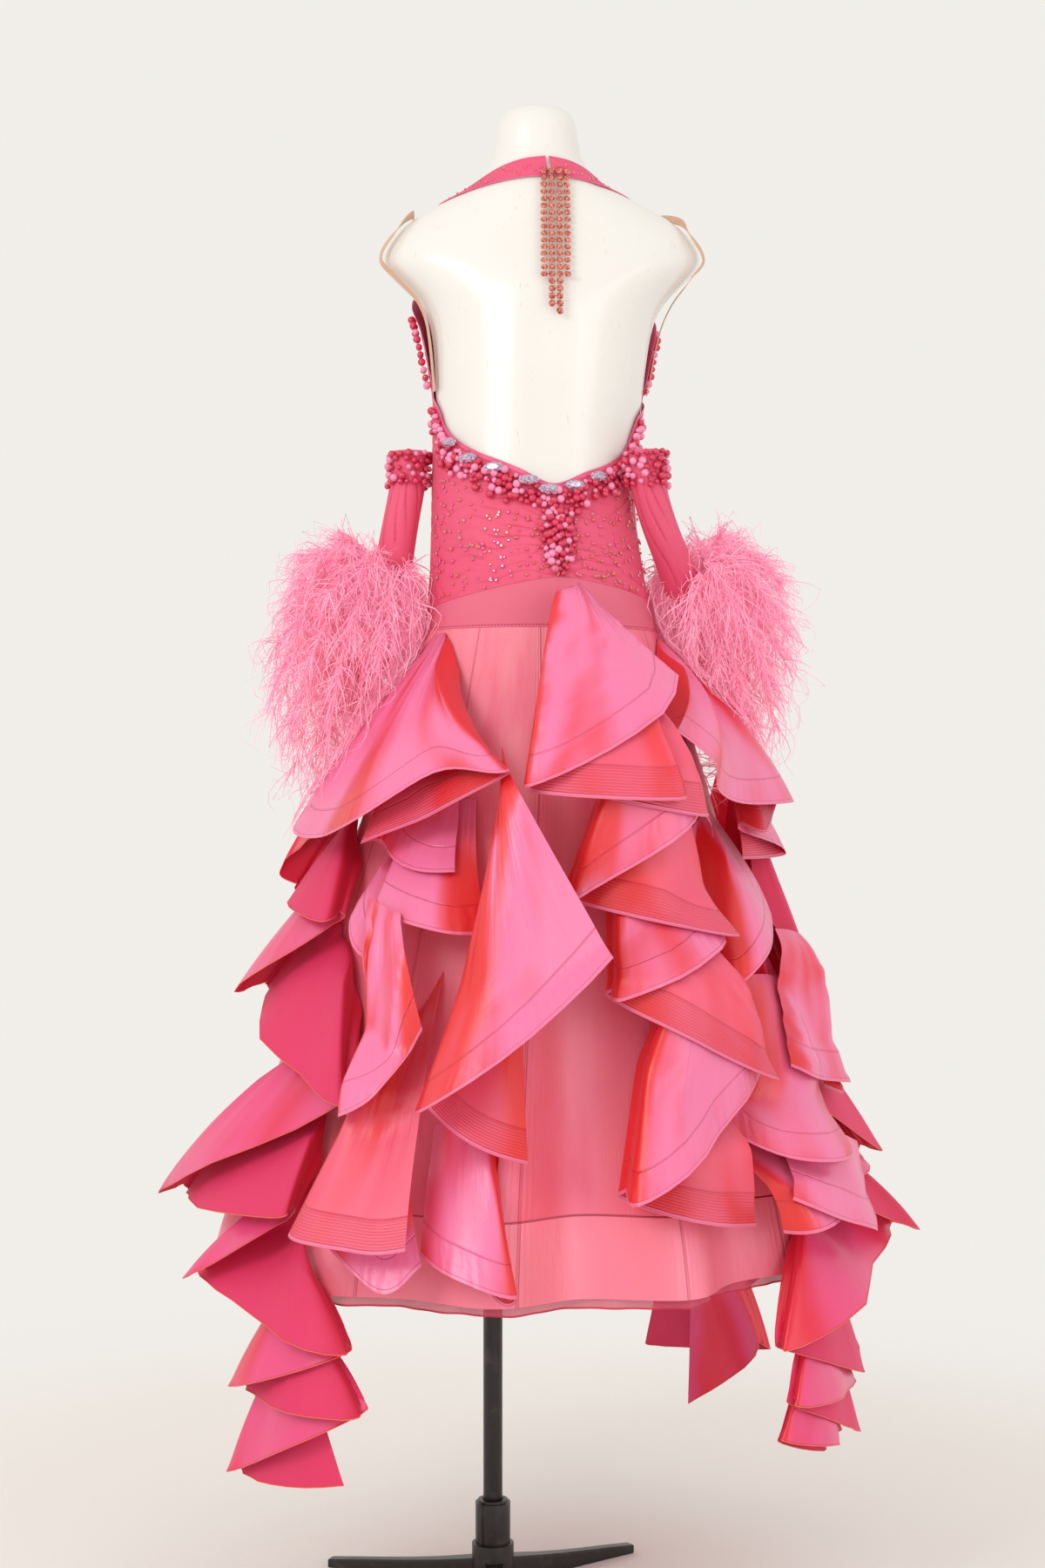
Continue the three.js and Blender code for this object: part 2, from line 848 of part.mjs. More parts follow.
// the hem's rows, with the two ends of each turn added. leaf counts the turns before a row, and a half
// stands for the turn itself
function hemRows(folds) {
  let leaf = 0;
  return folds.flatMap((fold, k) => {
    if (!fold.roll) return [{ ...fold, tuck: 0, leaf }];
    const [before, after] = [folds[k - 1], folds[k + 1]];
    const side = Math.sign(before.turn - fold.turn);
    const round = gownSection(fold.height).half_width + fold.out;
    const swing = Math.abs(fold.roll) * side * (180 / Math.PI) / round;
    const reach = Math.min(fold.at - before.at, after.at - fold.at) * TURN_REACH;
    const near = (other, sign) => ({
      at: fold.at + sign * reach,
      turn: fold.turn + swing,
      height: fold.height + (other.height - fold.height) * Math.abs(swing / (other.turn - fold.turn)),
      out: fold.out,
      tuck: -sign * fold.roll,
      spread: fold.spread,
      leaf: leaf + (sign > 0 ? 1 : 0),
    });
    const rows = [near(before, -1), { ...fold, tuck: 0, leaf: leaf + 0.5 }, near(after, 1)];
    leaf += 1;
    return rows;
  });
}

// one flounce as a grid of places: rows from the seam down to the hem, columns along the seam
function flouncePlaces({ seam, folds }, across, down) {
  const rows = hemRows(folds).map((row, i) => ({ ...row, i }));
  const sewn = seam.map((row, i) => ({ out: SEWN_ON, ...row, share: (100 * i) / (seam.length - 1) }));
  const columns = spread((rows.length - 1) * across, 0, rows.length - 1).map((i) => {
    const hem = (column) => read(rows, 'i', i, column);
    const start = (column) => read(sewn, 'share', clamp(hem('at'), 0, 100), column);
    const [before, after] = [rows[Math.floor(i)], rows[Math.ceil(i)]];
    return { hem, start, leaf: lerp(before.leaf, after.leaf, i % 1) };
  });
  return spread(down, 0, 1).map((v) => columns.map(({ hem, start, leaf }) => {
    const rise = RISE[0] * Math.sin((Math.PI / 2) * v) + RISE[1] * v * v;
    return {
      turn: lerp(start('turn'), hem('turn'), v ** hem('spread')),
      height: lerp(start('height'), hem('height'), v),
      out: lerp(start('out'), hem('out'), rise) + hem('tuck') * Math.min(1, v * TUCK_SPEED),
      leaf,
    };
  }));
}

// how far the highest cloth laid so far stands out, over a grid of turns and heights
const CELL = { turn: 2, height: 8 };
const DEGREE_ARC = 4.2;         // a degree of turn is about this long on the skirt
const CELL_ARC = DEGREE_ARC * CELL.turn;
const GRID = { turns: 180, heights: 150 };
const BARE = -1000;
const laid = new Float32Array(GRID.turns * GRID.heights).fill(BARE);
const LIFT_SLOPE = 0.45;        // how fast a lift may fade away along the cloth
const LIFT_REACH = 40;          // and over how many cells
const LIFT_GAP = 0.8;
const SAMPLES = { across: 12, down: 48 };
const OWN_LEAF = 0.25;          // places nearer to a leaf than this, in leaves, are its own
const FOLD_NEAR = 1e-6;

function corners({ turn, height }, visit) {
  const x = ((turn + 360) % 360) / CELL.turn;
  const y = height / CELL.height;
  for (const [i, wx] of [[Math.floor(x), 1 - (x % 1)], [Math.floor(x) + 1, x % 1]]) {
    for (const [j, wy] of [[Math.floor(y), 1 - (y % 1)], [Math.floor(y) + 1, y % 1]]) {
      visit((i % GRID.turns) + GRID.turns * clamp(j, 0, GRID.heights - 1), wx * wy);
    }
  }
}

// the least smooth lift that takes these places clear of all that is laid
function liftOver(places, gap) {
  const lift = new Float32Array(laid.length).fill(0);
  for (const place of places) {
    corners(place, (cell) => {
      lift[cell] = Math.max(lift[cell], laid[cell] + FLOUNCE_CLOTH + gap - place.out);
    });
  }
  const fade = (a, b, distance) => {
    lift[b] = Math.max(lift[b], lift[a] - LIFT_SLOPE * distance);
    lift[a] = Math.max(lift[a], lift[b] - LIFT_SLOPE * distance);
  };
  for (let pass = 0; pass < LIFT_REACH; pass++) {
    for (let here = 0; here < lift.length; here++) {
      const i = here % GRID.turns;
      fade(here, here - i + ((i + 1) % GRID.turns), CELL_ARC);
      if (here + GRID.turns < lift.length) fade(here, here + GRID.turns, CELL.height);
    }
  }
  return lift;
}

function mark(place) {
  corners(place, (cell) => { laid[cell] = Math.max(laid[cell], place.out); });
}

// lays a flounce on those before it, its inmost leaf first, and gives its raised places
function layOn(flounce, places) {
  const samples = flouncePlaces(flounce, SAMPLES.across, SAMPLES.down).flat();
  const ranks = [0];
  for (const { roll } of flounce.folds) if (roll) ranks.push(ranks.at(-1) - Math.sign(roll));
  const lifts = ranks.map(() => new Float32Array(laid.length));
  const raised = (place) => {
    const [low, high] = [lifts[Math.floor(place.leaf)], lifts[Math.ceil(place.leaf)]];
    let by = 0;
    corners(place, (cell, weight) => { by += weight * lerp(low[cell], high[cell], place.leaf % 1); });
    return { ...place, out: place.out + by };
  };
  for (const leaf of [...ranks.keys()].sort((a, b) => ranks[a] - ranks[b])) {
    const own = samples.filter((place) => Math.abs(place.leaf - leaf) < OWN_LEAF);
    lifts[leaf] = liftOver(own, flounce.gap ?? LIFT_GAP);
    own.map(raised).forEach(mark);
  }
  samples.map(raised).forEach(mark);
  return places.map((row) => row.map(raised));
}

for (const [name, flounce] of Object.entries(FLOUNCES)) {
  const float = name.includes('float');
  const places = layOn(flounce, flouncePlaces(flounce, FLOUNCE_ACROSS, float ? FLOAT_DOWN : FLOUNCE_DOWN));
  const rows = places.map((row) => row.map((p) => onGown(p.turn, p.height, p.out)));
  const folds = [...places[0].keys()].filter((j) => Math.abs((places[0][j].leaf % 1) - 0.5) < FOLD_NEAR);
  add(name, wall(rows, { thickness: FLOUNCE_CLOTH, folds }), float ? 'float' : 'satin');
}

// ---- cuffs: mesh tubes with pearls round the top, pinned at the sides of the waist ----

const CUFF_PEARL_ROWS = 4;
const CUFF_FOOT = 1000;
const CUFF_MIDDLE = 1075;
const CUFFS = {
  left: table(`
    height turn out radius
     1300  -86  26.5   20
     1290  -86  26.5   20
     1280  -86  26.5   20
     1270  -86  26.5   20
     1200  -88  38     21
     1100  -90  52     24
     1000  -91  62     27
  `),
  right: table(`
    height turn out radius
     1293   57  31.6   20
     1283   57  31.6   20
     1273   58  31.6   20
     1263   59  31.6   20
     1200   72  35     21
     1110   95  48     24
     1000  107  66     27
  `),
};
const CUFF_COLUMNS = 14;
const FEATHER_BAND = { middle: 1165, half: 14 };

// the cuff's own middle line and radius at a height
function cuffAt(side, height) {
  const of = (column) => read(CUFFS[side], 'height', height, column);
  return { middle: onGown(of('turn'), height, of('out')), radius: of('radius') };
}

function cuffRing(side, height, wider = 0) {
  const { middle, radius } = cuffAt(side, height);
  return spread(CUFF_COLUMNS, 0, 2 * Math.PI).slice(0, -1).map((angle) => new THREE.Vector3(
    middle.x + (radius + wider) * Math.sin(angle), middle.y - (radius + wider) * Math.cos(angle), height));
}

const bandTop = FEATHER_BAND.middle + FEATHER_BAND.half;
const bandFoot = FEATHER_BAND.middle - FEATHER_BAND.half;

for (const side of ['left', 'right']) {
  const pearlRows = CUFFS[side].slice(0, CUFF_PEARL_ROWS).map((row) => row.height);
  const heights = [...pearlRows, bandTop + 1, bandFoot - 1, CUFF_MIDDLE, CUFF_FOOT];
  add(`cuff_${side}`, wall(heights.map((height) => cuffRing(side, height)), {
    closed: true, raise: (i, j) => (i < CUFF_PEARL_ROWS ? pearls(i, j) : 0) }), 'mesh');
}

// ---- ostrich feathers: locks knotted to a narrow band round each cuff ----

const UPRIGHT = 0.01;
const PLACE_STEPS = 12;

// a slim strand with three sides along its points, pointed at its end
function strand(points, radii) {
  const last = points.length - 1;
  const rings = points.slice(0, last).flatMap((point, k) => {
    const along = points[k + 1].clone().sub(points[Math.max(k - 1, 0)]).normalize();
    const side = new THREE.Vector3(0, 0, 1).cross(along);
    if (side.lengthSq() < UPRIGHT) side.set(1, 0, 0).cross(along);
    side.normalize();
    const up = along.clone().cross(side);
    return [0, 1, 2].map((c) => point.clone()
      .addScaledVector(side, radii[k] * Math.cos((c * 2 * Math.PI) / 3))
      .addScaledVector(up, radii[k] * Math.sin((c * 2 * Math.PI) / 3)));
  });
  const tip = rings.push(points[last]) - 1;
  const faces = [[0, 2, 1]];
  for (let k = 0; k < last; k++) {
    for (let c = 0; c < 3; c++) {
      const [a, b] = [3 * k + c, 3 * k + ((c + 1) % 3)];
      if (k + 1 < last) faces.push([a, b, b + 3], [a, b + 3, a + 3]);
      else faces.push([a, b, tip]);
    }
  }
  return solid(rings, faces);
}

// the turn and the out of a point in space
function placeOf(point) {
  const section = gownSection(point.z);
  let [turn, out] = [0, 0];
  for (let step = 0; step < PLACE_STEPS; step++) {
    const depth = Math.cos(degToRad(turn)) > 0 ? section.back : section.front;
    const across = (point.x - section.centre) / (section.half_width + out);
    const deep = -point.y / (depth + out);
    turn = THREE.MathUtils.radToDeg(Math.atan2(across, deep));
    out += (Math.hypot(across, deep) - 1) * (depth + out);
  }
  return { turn, height: point.z, out: out - flute(turn, point.z, out) };
}

// moves a point out until it clears the cuff it hangs from and every cloth laid there
function clearOfCloth(point, side) {
  const cuff = cuffAt(side, clamp(point.z, CUFF_FOOT, CUFFS[side][0].height));
  const gap = Math.hypot(point.x - cuff.middle.x, point.y - cuff.middle.y);
  const push = Math.max(1, (cuff.radius + CLOTH + LOCK_MARGIN) / gap);
  point.x = cuff.middle.x + (point.x - cuff.middle.x) * push;
  point.y = cuff.middle.y + (point.y - cuff.middle.y) * push;
  const place = placeOf(point);
  let top = CLOTH;
  corners(place, (cell) => { top = Math.max(top, laid[cell]); });
  return place.out < top + LOCK_MARGIN ? onGown(place.turn, place.height, top + LOCK_MARGIN) : point;
}

const LOCKS = 25;
const LOCK_RADII = [1.8, 9, 6];
const LOCK_MARGIN = 14;
const LOCK_ENDS = { highest: 0.9, range: 1.86 };   // levels of the locks' ends, from 1 at the top to -1
const LOCK_ROOT = { sunk: 0.4, inset: 5 };
const KNEE = { reach: 34, share: 0.32, fall: 0.3, rise: 14 };
const ELBOW = 0.55;
const GOLDEN_ANGLE = Math.PI * (3 - Math.sqrt(5));
const PUFFS = {
  left: { middle: [-168, -12, 1048], size: [92, 84, 168], gap: 0.7 },
  right: { middle: [262, 34, 1075], size: [88, 84, 155], gap: 1.9 },
};

function feathers(side) {
  const { middle, size, gap } = PUFFS[side];
  const wider = CLOTH + gap;
  const backing = wall([bandTop, bandFoot].map((height) => cuffRing(side, height, wider)), { closed: true });
  const centre = new THREE.Vector3(...middle);
  const reach = new THREE.Vector3(...size);
  const locks = Array.from({ length: LOCKS }, (_, k) => {
    const level = LOCK_ENDS.highest - (LOCK_ENDS.range * (k + 0.5)) / LOCKS;
    const round = Math.sqrt(1 - level * level);
    const angle = k * GOLDEN_ANGLE;
    const ball = new THREE.Vector3(round * Math.sin(angle), -round * Math.cos(angle), level);
    const end = ball.multiply(reach).add(centre);
    const height = FEATHER_BAND.middle + level * (FEATHER_BAND.half - LOCK_ROOT.inset);
    const heart = cuffAt(side, height);
    const away = new THREE.Vector3(end.x - heart.middle.x, end.y - heart.middle.y, 0).normalize();
    const root = heart.middle.clone().addScaledVector(away, heart.radius + wider + LOCK_ROOT.sunk);
    const knee = root.clone().addScaledVector(away, KNEE.reach).lerp(end, KNEE.share);
    knee.z = lerp(root.z, end.z, KNEE.fall) + KNEE.rise;
    const elbow = knee.clone().lerp(end, ELBOW);
    return strand([root, ...[knee, elbow, end].map((point) => clearOfCloth(point, side))], LOCK_RADII);
  });
  return join([backing, ...locks]);
}

for (const side of ['left', 'right']) add(`feathers_${side}`, feathers(side), 'feather');

// ---- crystal chains that hang from the neck band at the centre back, two to each side ----

const CHAIN = { half: 3.5, thick: 3, top: 1598, step: 24, out: 4.5 };
const HEAD = { rise: 12, drop: 4, thick: 4 };
const TASSELS = {
  left: { outer: [58, 1476], inner: [66.5, 1436] },
  right: { outer: [84, 1472], inner: [75.5, 1432] },
};

// a place on the figure straight behind a given x
function behind(x, height, out) {
  const { centre, half_width } = gownSection(height);
  return onGown(THREE.MathUtils.radToDeg(Math.asin((x - centre) / (half_width + out))), height, out);
}

function chain(x, foot) {
  const count = Math.round((CHAIN.top - foot) / CHAIN.step);
  const rows = spread(count, CHAIN.top, foot).map((height) => [-1, 1].map(
    (side) => behind(x + side * CHAIN.half, height, CHAIN.out)));
  return wall(rows, { thickness: CHAIN.thick });
}

for (const [side, { outer, inner }] of Object.entries(TASSELS)) {
  const ends = [outer[0], inner[0]].sort((a, b) => a - b);
  const head = wall([CHAIN.top + HEAD.rise, CHAIN.top - HEAD.drop].map((height) => ends.map(
    (x, i) => behind(x + (i ? 1 : -1) * CHAIN.half, height, CHAIN.out))), { thickness: HEAD.thick });
  add(`tassel_${side}`, join([head, chain(...outer), chain(...inner)]), 'crystal');
}

export default gown;
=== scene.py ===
import math

import bpy
import numpy as np
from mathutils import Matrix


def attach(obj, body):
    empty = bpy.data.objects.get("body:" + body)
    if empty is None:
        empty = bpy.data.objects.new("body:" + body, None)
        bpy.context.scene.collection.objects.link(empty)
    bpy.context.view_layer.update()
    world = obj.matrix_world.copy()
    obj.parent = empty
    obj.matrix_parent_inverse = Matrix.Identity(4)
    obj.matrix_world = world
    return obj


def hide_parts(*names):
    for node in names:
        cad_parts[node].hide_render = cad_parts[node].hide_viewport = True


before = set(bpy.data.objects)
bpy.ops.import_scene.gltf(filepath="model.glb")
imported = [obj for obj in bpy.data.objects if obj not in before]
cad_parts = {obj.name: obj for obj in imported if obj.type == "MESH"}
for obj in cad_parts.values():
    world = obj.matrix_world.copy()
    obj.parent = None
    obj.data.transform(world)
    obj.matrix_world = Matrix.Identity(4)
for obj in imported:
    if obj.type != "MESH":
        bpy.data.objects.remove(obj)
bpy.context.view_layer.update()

# ---- The dress form ----
# A limbless torso of glass fibre under a glossy white lacquer, with a soft groove down its back.
# It is cast in one mould and polished, so it shows no seam, only faint clouding and a few scuffs.


def select_none():
    """Leaves nothing selected, so that an operator acts on nothing by chance."""
    for other in bpy.context.selected_objects:
        other.select_set(False)


def alone(obj):
    """Leaves one object selected and active, so that an operator acts on nothing else."""
    select_none()
    obj.select_set(True)
    bpy.context.view_layer.objects.active = obj


def on_all(obj, operator, **settings):
    """Runs an operator on the whole of a mesh, in edit mode."""
    alone(obj)
    bpy.ops.object.mode_set(mode="EDIT")
    bpy.ops.mesh.select_all(action="SELECT")
    operator(**settings)
    bpy.ops.object.mode_set(mode="OBJECT")


def colour(red, green, blue):
    """A colour that is read off cloth or paint in steps of 255, as a shader wants it."""
    parts = [part / 255 for part in (red, green, blue)]
    return (*[((part + 0.055) / 1.055) ** 2.4 if part > 0.04 else part / 12.92 for part in parts], 1)


class Wire:
    """An output inside a material. A sum that is written with it becomes Math nodes."""

    def __init__(self, tree, socket=None):
        self.tree = tree
        self.socket = socket

    def node(self, kind, settings=None, links=None, out=0):
        node = self.tree.nodes.new("ShaderNode" + kind)
        for name, value in (settings or {}).items():
            setattr(node, name, value)
        for name, value in (links or {}).items():
            if isinstance(value, Wire):
                self.tree.links.new(value.socket, node.inputs[name])
            else:
                node.inputs[name].default_value = value
        return Wire(self.tree, node.outputs[out])

    def maths(self, operation, *values):
        return self.node("Math", {"operation": operation}, dict(enumerate(values)))

    def __add__(self, other):
        return self.maths("ADD", self, other)

    def __sub__(self, other):
        return self.maths("SUBTRACT", self, other)

    def __mul__(self, other):
        return self.maths("MULTIPLY", self, other)

    def __truediv__(self, other):
        return self.maths("DIVIDE", self, other)

    def __rsub__(self, other):
        return self.maths("SUBTRACT", other, self)

    __radd__ = __add__
    __rmul__ = __mul__

    def sine(self):
        return self.maths("SINE", self)

    def part(self):
        return self.maths("FRACT", self)

    def away(self):
        return self.maths("ABSOLUTE", self)

    def step(self, low, high, first=0, last=1):
        """Goes smoothly from first to last while this goes from low to high."""
        return self.node("MapRange", {"interpolation_type": "SMOOTHSTEP"}, {
            "Value": self, "From Min": low, "From Max": high, "To Min": first, "To Max": last})

    def blend(self, first, last):
        """A colour that goes from first to last with this."""
        return self.node("Mix", {"data_type": "RGBA"}, {0: self, 6: first, 7: last}, out=2)

    def noise(self, scale, detail=3):
        return self.node("TexNoise", None, {"Vector": self, "Scale": scale, "Detail": detail})

    def axes(self):
        """The three parts of a place."""
        return [self.node("SeparateXYZ", None, {"Vector": self}, out=k) for k in range(3)]

    def far(self):
        """How far a place is from the origin."""
        return self.node("VectorMath", {"operation": "LENGTH"}, {0: self}, out=1)

    def stretched(self, x, y, z):
        return self.node("Mapping", None, {"Vector": self, "Scale": (x, y, z)})

    def place(self):
        """The place on the piece in metres."""
        return self.node("TexCoord", out=3)

    def mark(self, name):
        """A number that the piece's own points carry."""
        return self.node("Attribute", {"attribute_name": name}, out=2)


def material(name, **fixed):
    """A new material, the start of its wires and its surface. fixed is the same all over."""
    made = bpy.data.materials.new(name)
    made.use_nodes = True
    surface = made.node_tree.nodes["Principled BSDF"]
    for key, value in fixed.items():
        surface.inputs[key.replace("_", " ")].default_value = value
    return made, Wire(made.node_tree), surface


def dress(surface, start, tone=None, roughness=None, height=None, depth=0.001, metal=None, alpha=None):
    """Joins wires to a surface: its colour, roughness and relief, and metal or holes if any."""
    relief = height and start.node("Bump", None, {"Height": height, "Distance": depth, "Strength": 1})
    feeds = {"Base Color": tone, "Roughness": roughness, "Normal": relief, "Metallic": metal, "Alpha": alpha}
    for name, wire in feeds.items():
        if wire is not None:
            start.tree.links.new(wire.socket, surface.inputs[name])


def keep(obj, finish, slot, *nodes):
    """The piece takes its finish, stands on the part's one body and shows in place of its solids."""
    obj.data.materials.clear()
    obj.data.materials.append(finish)
    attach(obj, "root")
    if nodes:
        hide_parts(*nodes)
    return obj


def copy_of(node, name):
    """A copy of a solid with its loose triangles merged into four-sided faces."""
    obj = bpy.data.objects.new(name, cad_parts[node].data.copy())
    bpy.context.scene.collection.objects.link(obj)
    on_all(obj, bpy.ops.mesh.remove_doubles, threshold=0.0001)
    on_all(obj, bpy.ops.mesh.tris_convert_to_quads, face_threshold=0.9, shape_threshold=1.2)
    bpy.ops.mesh.customdata_custom_splitnormals_clear()
    return obj


GROOVE = {"centre": 0.062, "half": 0.016}

lacquer, start, surface = material("white_lacquer", Coat_Weight=0.35, Coat_Roughness=0.15)
place = start.place()
across, deep, up = place.axes()
cloud = place.noise(7, 4)
scuffs = place.stretched(30, 30, 6).noise(9, 6).step(0.66, 0.74)
groove = (((across - GROOVE["centre"]) / GROOVE["half"]).away().step(0, 2.4, 1, 0)
          * up.step(1.13, 1.2) * up.step(1.42, 1.5, 1, 0) * deep.step(-0.02, 0.02, 1, 0))
white = cloud.blend(colour(238, 236, 231), colour(230, 227, 221))
dress(surface, start, scuffs.blend(white, colour(222, 217, 208)), cloud.step(0.3, 0.7, 0.24, 0.36),
      groove * -1 + cloud * 0.1, 0.004)

FORM_SWELL = 0.0012             # makes up for what smoothing takes off

torso = copy_of("form_torso", "dress_form")
smooth = torso.modifiers.new("smooth", "SUBSURF")
smooth.levels = 2
smooth.render_levels = 2
bpy.ops.object.modifier_apply(modifier="smooth")
on_all(torso, bpy.ops.transform.shrink_fatten, value=FORM_SWELL)
bpy.ops.object.shade_smooth()
keep(torso, lacquer, "form", "form_torso")

# ---- The stand ----
# A steel tube in a pinched collar on a foot of three cast legs, all in black paint. The tube drops
# into the collar and is held by a screw, and the legs taper to rubber tips that sit on the floor.

POLE = {"radius": 0.011, "low": 0.06, "high": 0.98}
COLLAR = {"radius": 0.020, "low": 0.0503, "high": 0.097, "lip": 0.003, "bore": 0.006, "slack": 0.0008}
SCREW = 0.0015                  # how far the screw's pad stands out of the collar
FOOT = {"radius": 0.024, "high": 0.05, "rim": 0.003, "boss": 0.0002}
LEG = {"reach": 0.205, "width": 0.026, "height": 0.036, "tip_width": 0.014, "tip_height": 0.010}
LEG_WAIST = (0.25, 0.12)        # how much narrower and lower a leg is in its middle
LEG_DIRECTIONS = (-86, 37, 160)

black, start, surface = material("black_paint", Specular_IOR_Level=0.5)
place = start.place()
peel = place.noise(420, 2)
worn = place.noise(26, 5).step(0.6, 0.8)
dust = place.noise(60, 4).step(0.5, 0.85)
dress(surface, start, dust.blend(worn.blend(colour(30, 26, 25), colour(52, 47, 44)), colour(70, 64, 60)),
      worn.step(0, 1, 0.36, 0.52), peel, 0.0003)


def turned(name, radius, low, high, sides=64):
    """A round bar that stands upright on the stand's axis."""
    select_none()
    bpy.ops.mesh.primitive_cylinder_add(
        vertices=sides, radius=radius, depth=high - low, location=(0, 0, (low + high) / 2))
    obj = bpy.context.object
    obj.name = name
    bpy.ops.object.transform_apply()
    return obj


def pick(obj, wanted, kind="faces"):
    """In edit mode, selects the faces or points of a mesh that wanted says yes to."""
    bpy.ops.object.mode_set(mode="EDIT")
    bpy.ops.mesh.select_all(action="DESELECT")
    bpy.ops.mesh.select_mode(type="FACE" if kind == "faces" else "VERT")
    bpy.ops.object.mode_set(mode="OBJECT")
    for part in obj.data.polygons if kind == "faces" else obj.data.vertices:
        part.select = wanted(part)
    bpy.ops.object.mode_set(mode="EDIT")


def rounded(obj, width, segments=3):
    """Rounds the edges of a hard piece and shades it smooth."""
    alone(obj)
    soft = obj.modifiers.new("soft", "BEVEL")
    soft.width = width
    soft.segments = segments
    soft.limit_method = "ANGLE"
    bpy.ops.object.modifier_apply(modifier="soft")
    bpy.ops.object.shade_smooth_by_angle(angle=math.radians(40))
    return obj


pole = turned("pole", POLE["radius"], POLE["low"], POLE["high"])
keep(rounded(pole, 0.001), black, "stand", "stand_pole")

collar = turned("pole_collar", COLLAR["radius"], COLLAR["low"], COLLAR["high"])
pick(collar, lambda face: face.normal.z > 0.9)
bpy.ops.mesh.inset(thickness=COLLAR["lip"])
bpy.ops.mesh.extrude_region_move(TRANSFORM_OT_translate={"value": (0, 0, COLLAR["lip"])})
bpy.ops.mesh.inset(thickness=COLLAR["radius"] - COLLAR["lip"] - POLE["radius"] - COLLAR["slack"])
bpy.ops.mesh.extrude_region_move(TRANSFORM_OT_translate={"value": (0, 0, -COLLAR["bore"])})
pick(collar, lambda face: abs(face.normal.z) < 0.1 and -0.7 < face.normal.x < -0.55 and face.normal.y < 0)
bpy.ops.mesh.extrude_region_shrink_fatten(TRANSFORM_OT_shrink_fatten={"value": SCREW})
bpy.ops.object.mode_set(mode="OBJECT")
keep(rounded(collar, 0.0008), black, "stand", "stand_collar")

foot = turned("stand_foot_hub", FOOT["radius"], 0, FOOT["high"])
pick(foot, lambda face: face.normal.z > 0.9)
bpy.ops.mesh.inset(thickness=FOOT["rim"])
bpy.ops.mesh.extrude_region_move(TRANSFORM_OT_translate={"value": (0, 0, FOOT["boss"])})
bpy.ops.object.mode_set(mode="OBJECT")
rounded(foot, 0.001)
for direction in LEG_DIRECTIONS:
    alone(foot)
    foot.select_set(False)
    bpy.ops.mesh.primitive_cube_add(size=1, location=(LEG["reach"] / 2, 0, LEG["height"] / 2),
                                    scale=(LEG["reach"], LEG["width"], LEG["height"]))
    leg = bpy.context.object
    bpy.ops.object.transform_apply()
    pick(leg, lambda point: point.co.x > LEG["reach"] / 2, "points")
    bpy.ops.transform.resize(value=(1, LEG["tip_width"] / LEG["width"], LEG["tip_height"] / LEG["height"]),
                             center_override=(LEG["reach"], 0, 0))
    on_all(leg, bpy.ops.mesh.subdivide, number_cuts=5)
    for point in leg.data.vertices:
        far = point.co.x / LEG["reach"]
        point.co.y *= 1 - LEG_WAIST[0] * math.sin(far * math.pi)
        point.co.z *= 1 - LEG_WAIST[1] * math.sin(far * math.pi)
    rounded(leg, 0.003)
    leg.rotation_euler.z = math.radians(direction)
    bpy.ops.object.transform_apply()
    alone(foot)
    leg.select_set(True)
    bpy.ops.object.join()
keep(foot, black, "stand", "stand_foot")

# ---- The bodice ----
# Pink stretch mesh, ruched by hand into fine folds that run in from the sides to the centre back,
# over a plain front that rises to a halter neck. The edges are turned under a narrow bound seam.

CLOTH_EASE = 2.5                # mm, from the form to the middle of the cloth
SKIRT_SEAM = 1093
CENTRE_BACK = 11
SIDE_GAP = 0.12
LEFT_SEAM = CENTRE_BACK - 90
RIGHT_SEAM = CENTRE_BACK + 90


def table(text):
    """A table in mm and degrees: names, then the numbers of each section, on lines or after commas."""
    head, *lines = [line.split() for line in text.replace(",", "\n").splitlines() if line.strip()]
    return {name: np.array([float(line[i]) for line in lines]) for i, name in enumerate(head)}


def read(rows, by, at, *columns):
    """Reads columns at a value of another, on smooth curves through the rows."""
    if len(columns) > 1:
        return [read(rows, by, at, column) for column in columns]
    place, value = rows[by], rows[columns[0]]
    up = 1 if place[0] < place[-1] else -1
    after = np.minimum(np.arange(len(place)) + 1, len(place) - 1)
    before = np.maximum(np.arange(len(place)) - 1, 0)
    slope = (value[after] - value[before]) / (place[after] - place[before])
    i = np.clip(np.searchsorted(place * up, np.asarray(at) * up) - 1, 0, len(place) - 2)
    step = place[i + 1] - place[i]
    t = np.clip((at - place[i]) / step, 0, 1)
    bend = slope[i] * (t ** 3 - 2 * t ** 2 + t) + slope[i + 1] * (t ** 3 - t ** 2)
    return value[i] * (2 * t ** 3 - 3 * t ** 2 + 1) + value[i + 1] * (3 * t ** 2 - 2 * t ** 3) + step * bend


FORM_SECTIONS = table("""height centre half_width back front
    960 54 150 128 120, 1040 54 147 126 112, 1100 54 130 112 100, 1160 50 120 104 96,
    1240 46 114 92 98, 1310 49 116 92 108, 1370 53 120 95 122, 1440 56 125 98 126,
    1470 56 138 97 118, 1495 55 166 90 104, 1515 55 189 80 92, 1542 55 180 70 80,
    1570 55 142 62 66, 1590 54 100 57 58, 1605 52 73 54 54, 1625 51 55 51 50,
    1645 50 48 48 48, 1675 50 47 47 47, 1689 50 38 38 38, 1693 50 26 26 26
""")
SKIRT_SECTIONS = table("""height centre half_width back front
    950 54 182 172 168, 800 46 226 221 218, 600 36 276 276 276, 375 28 335 335 335,
    0 28 335 335 335
""")
SIDES = ("half_width", "back", "front")
for side in ("height", "centre", *SIDES):
    seam = SKIRT_SEAM if side == "height" else float(read(FORM_SECTIONS, "height", SKIRT_SEAM, side))
    SKIRT_SECTIONS[side] = np.insert(SKIRT_SECTIONS[side], 0, seam + (CLOTH_EASE if side in SIDES else 0))
FLUTES = table("""count depth phase
    11 17 40, 7 8 110
""")
FLUTES_START = 1010
HEM = 392
GOWN_AXIS = (44.0, 0.0)
SHARP_EDGE = math.radians(70)
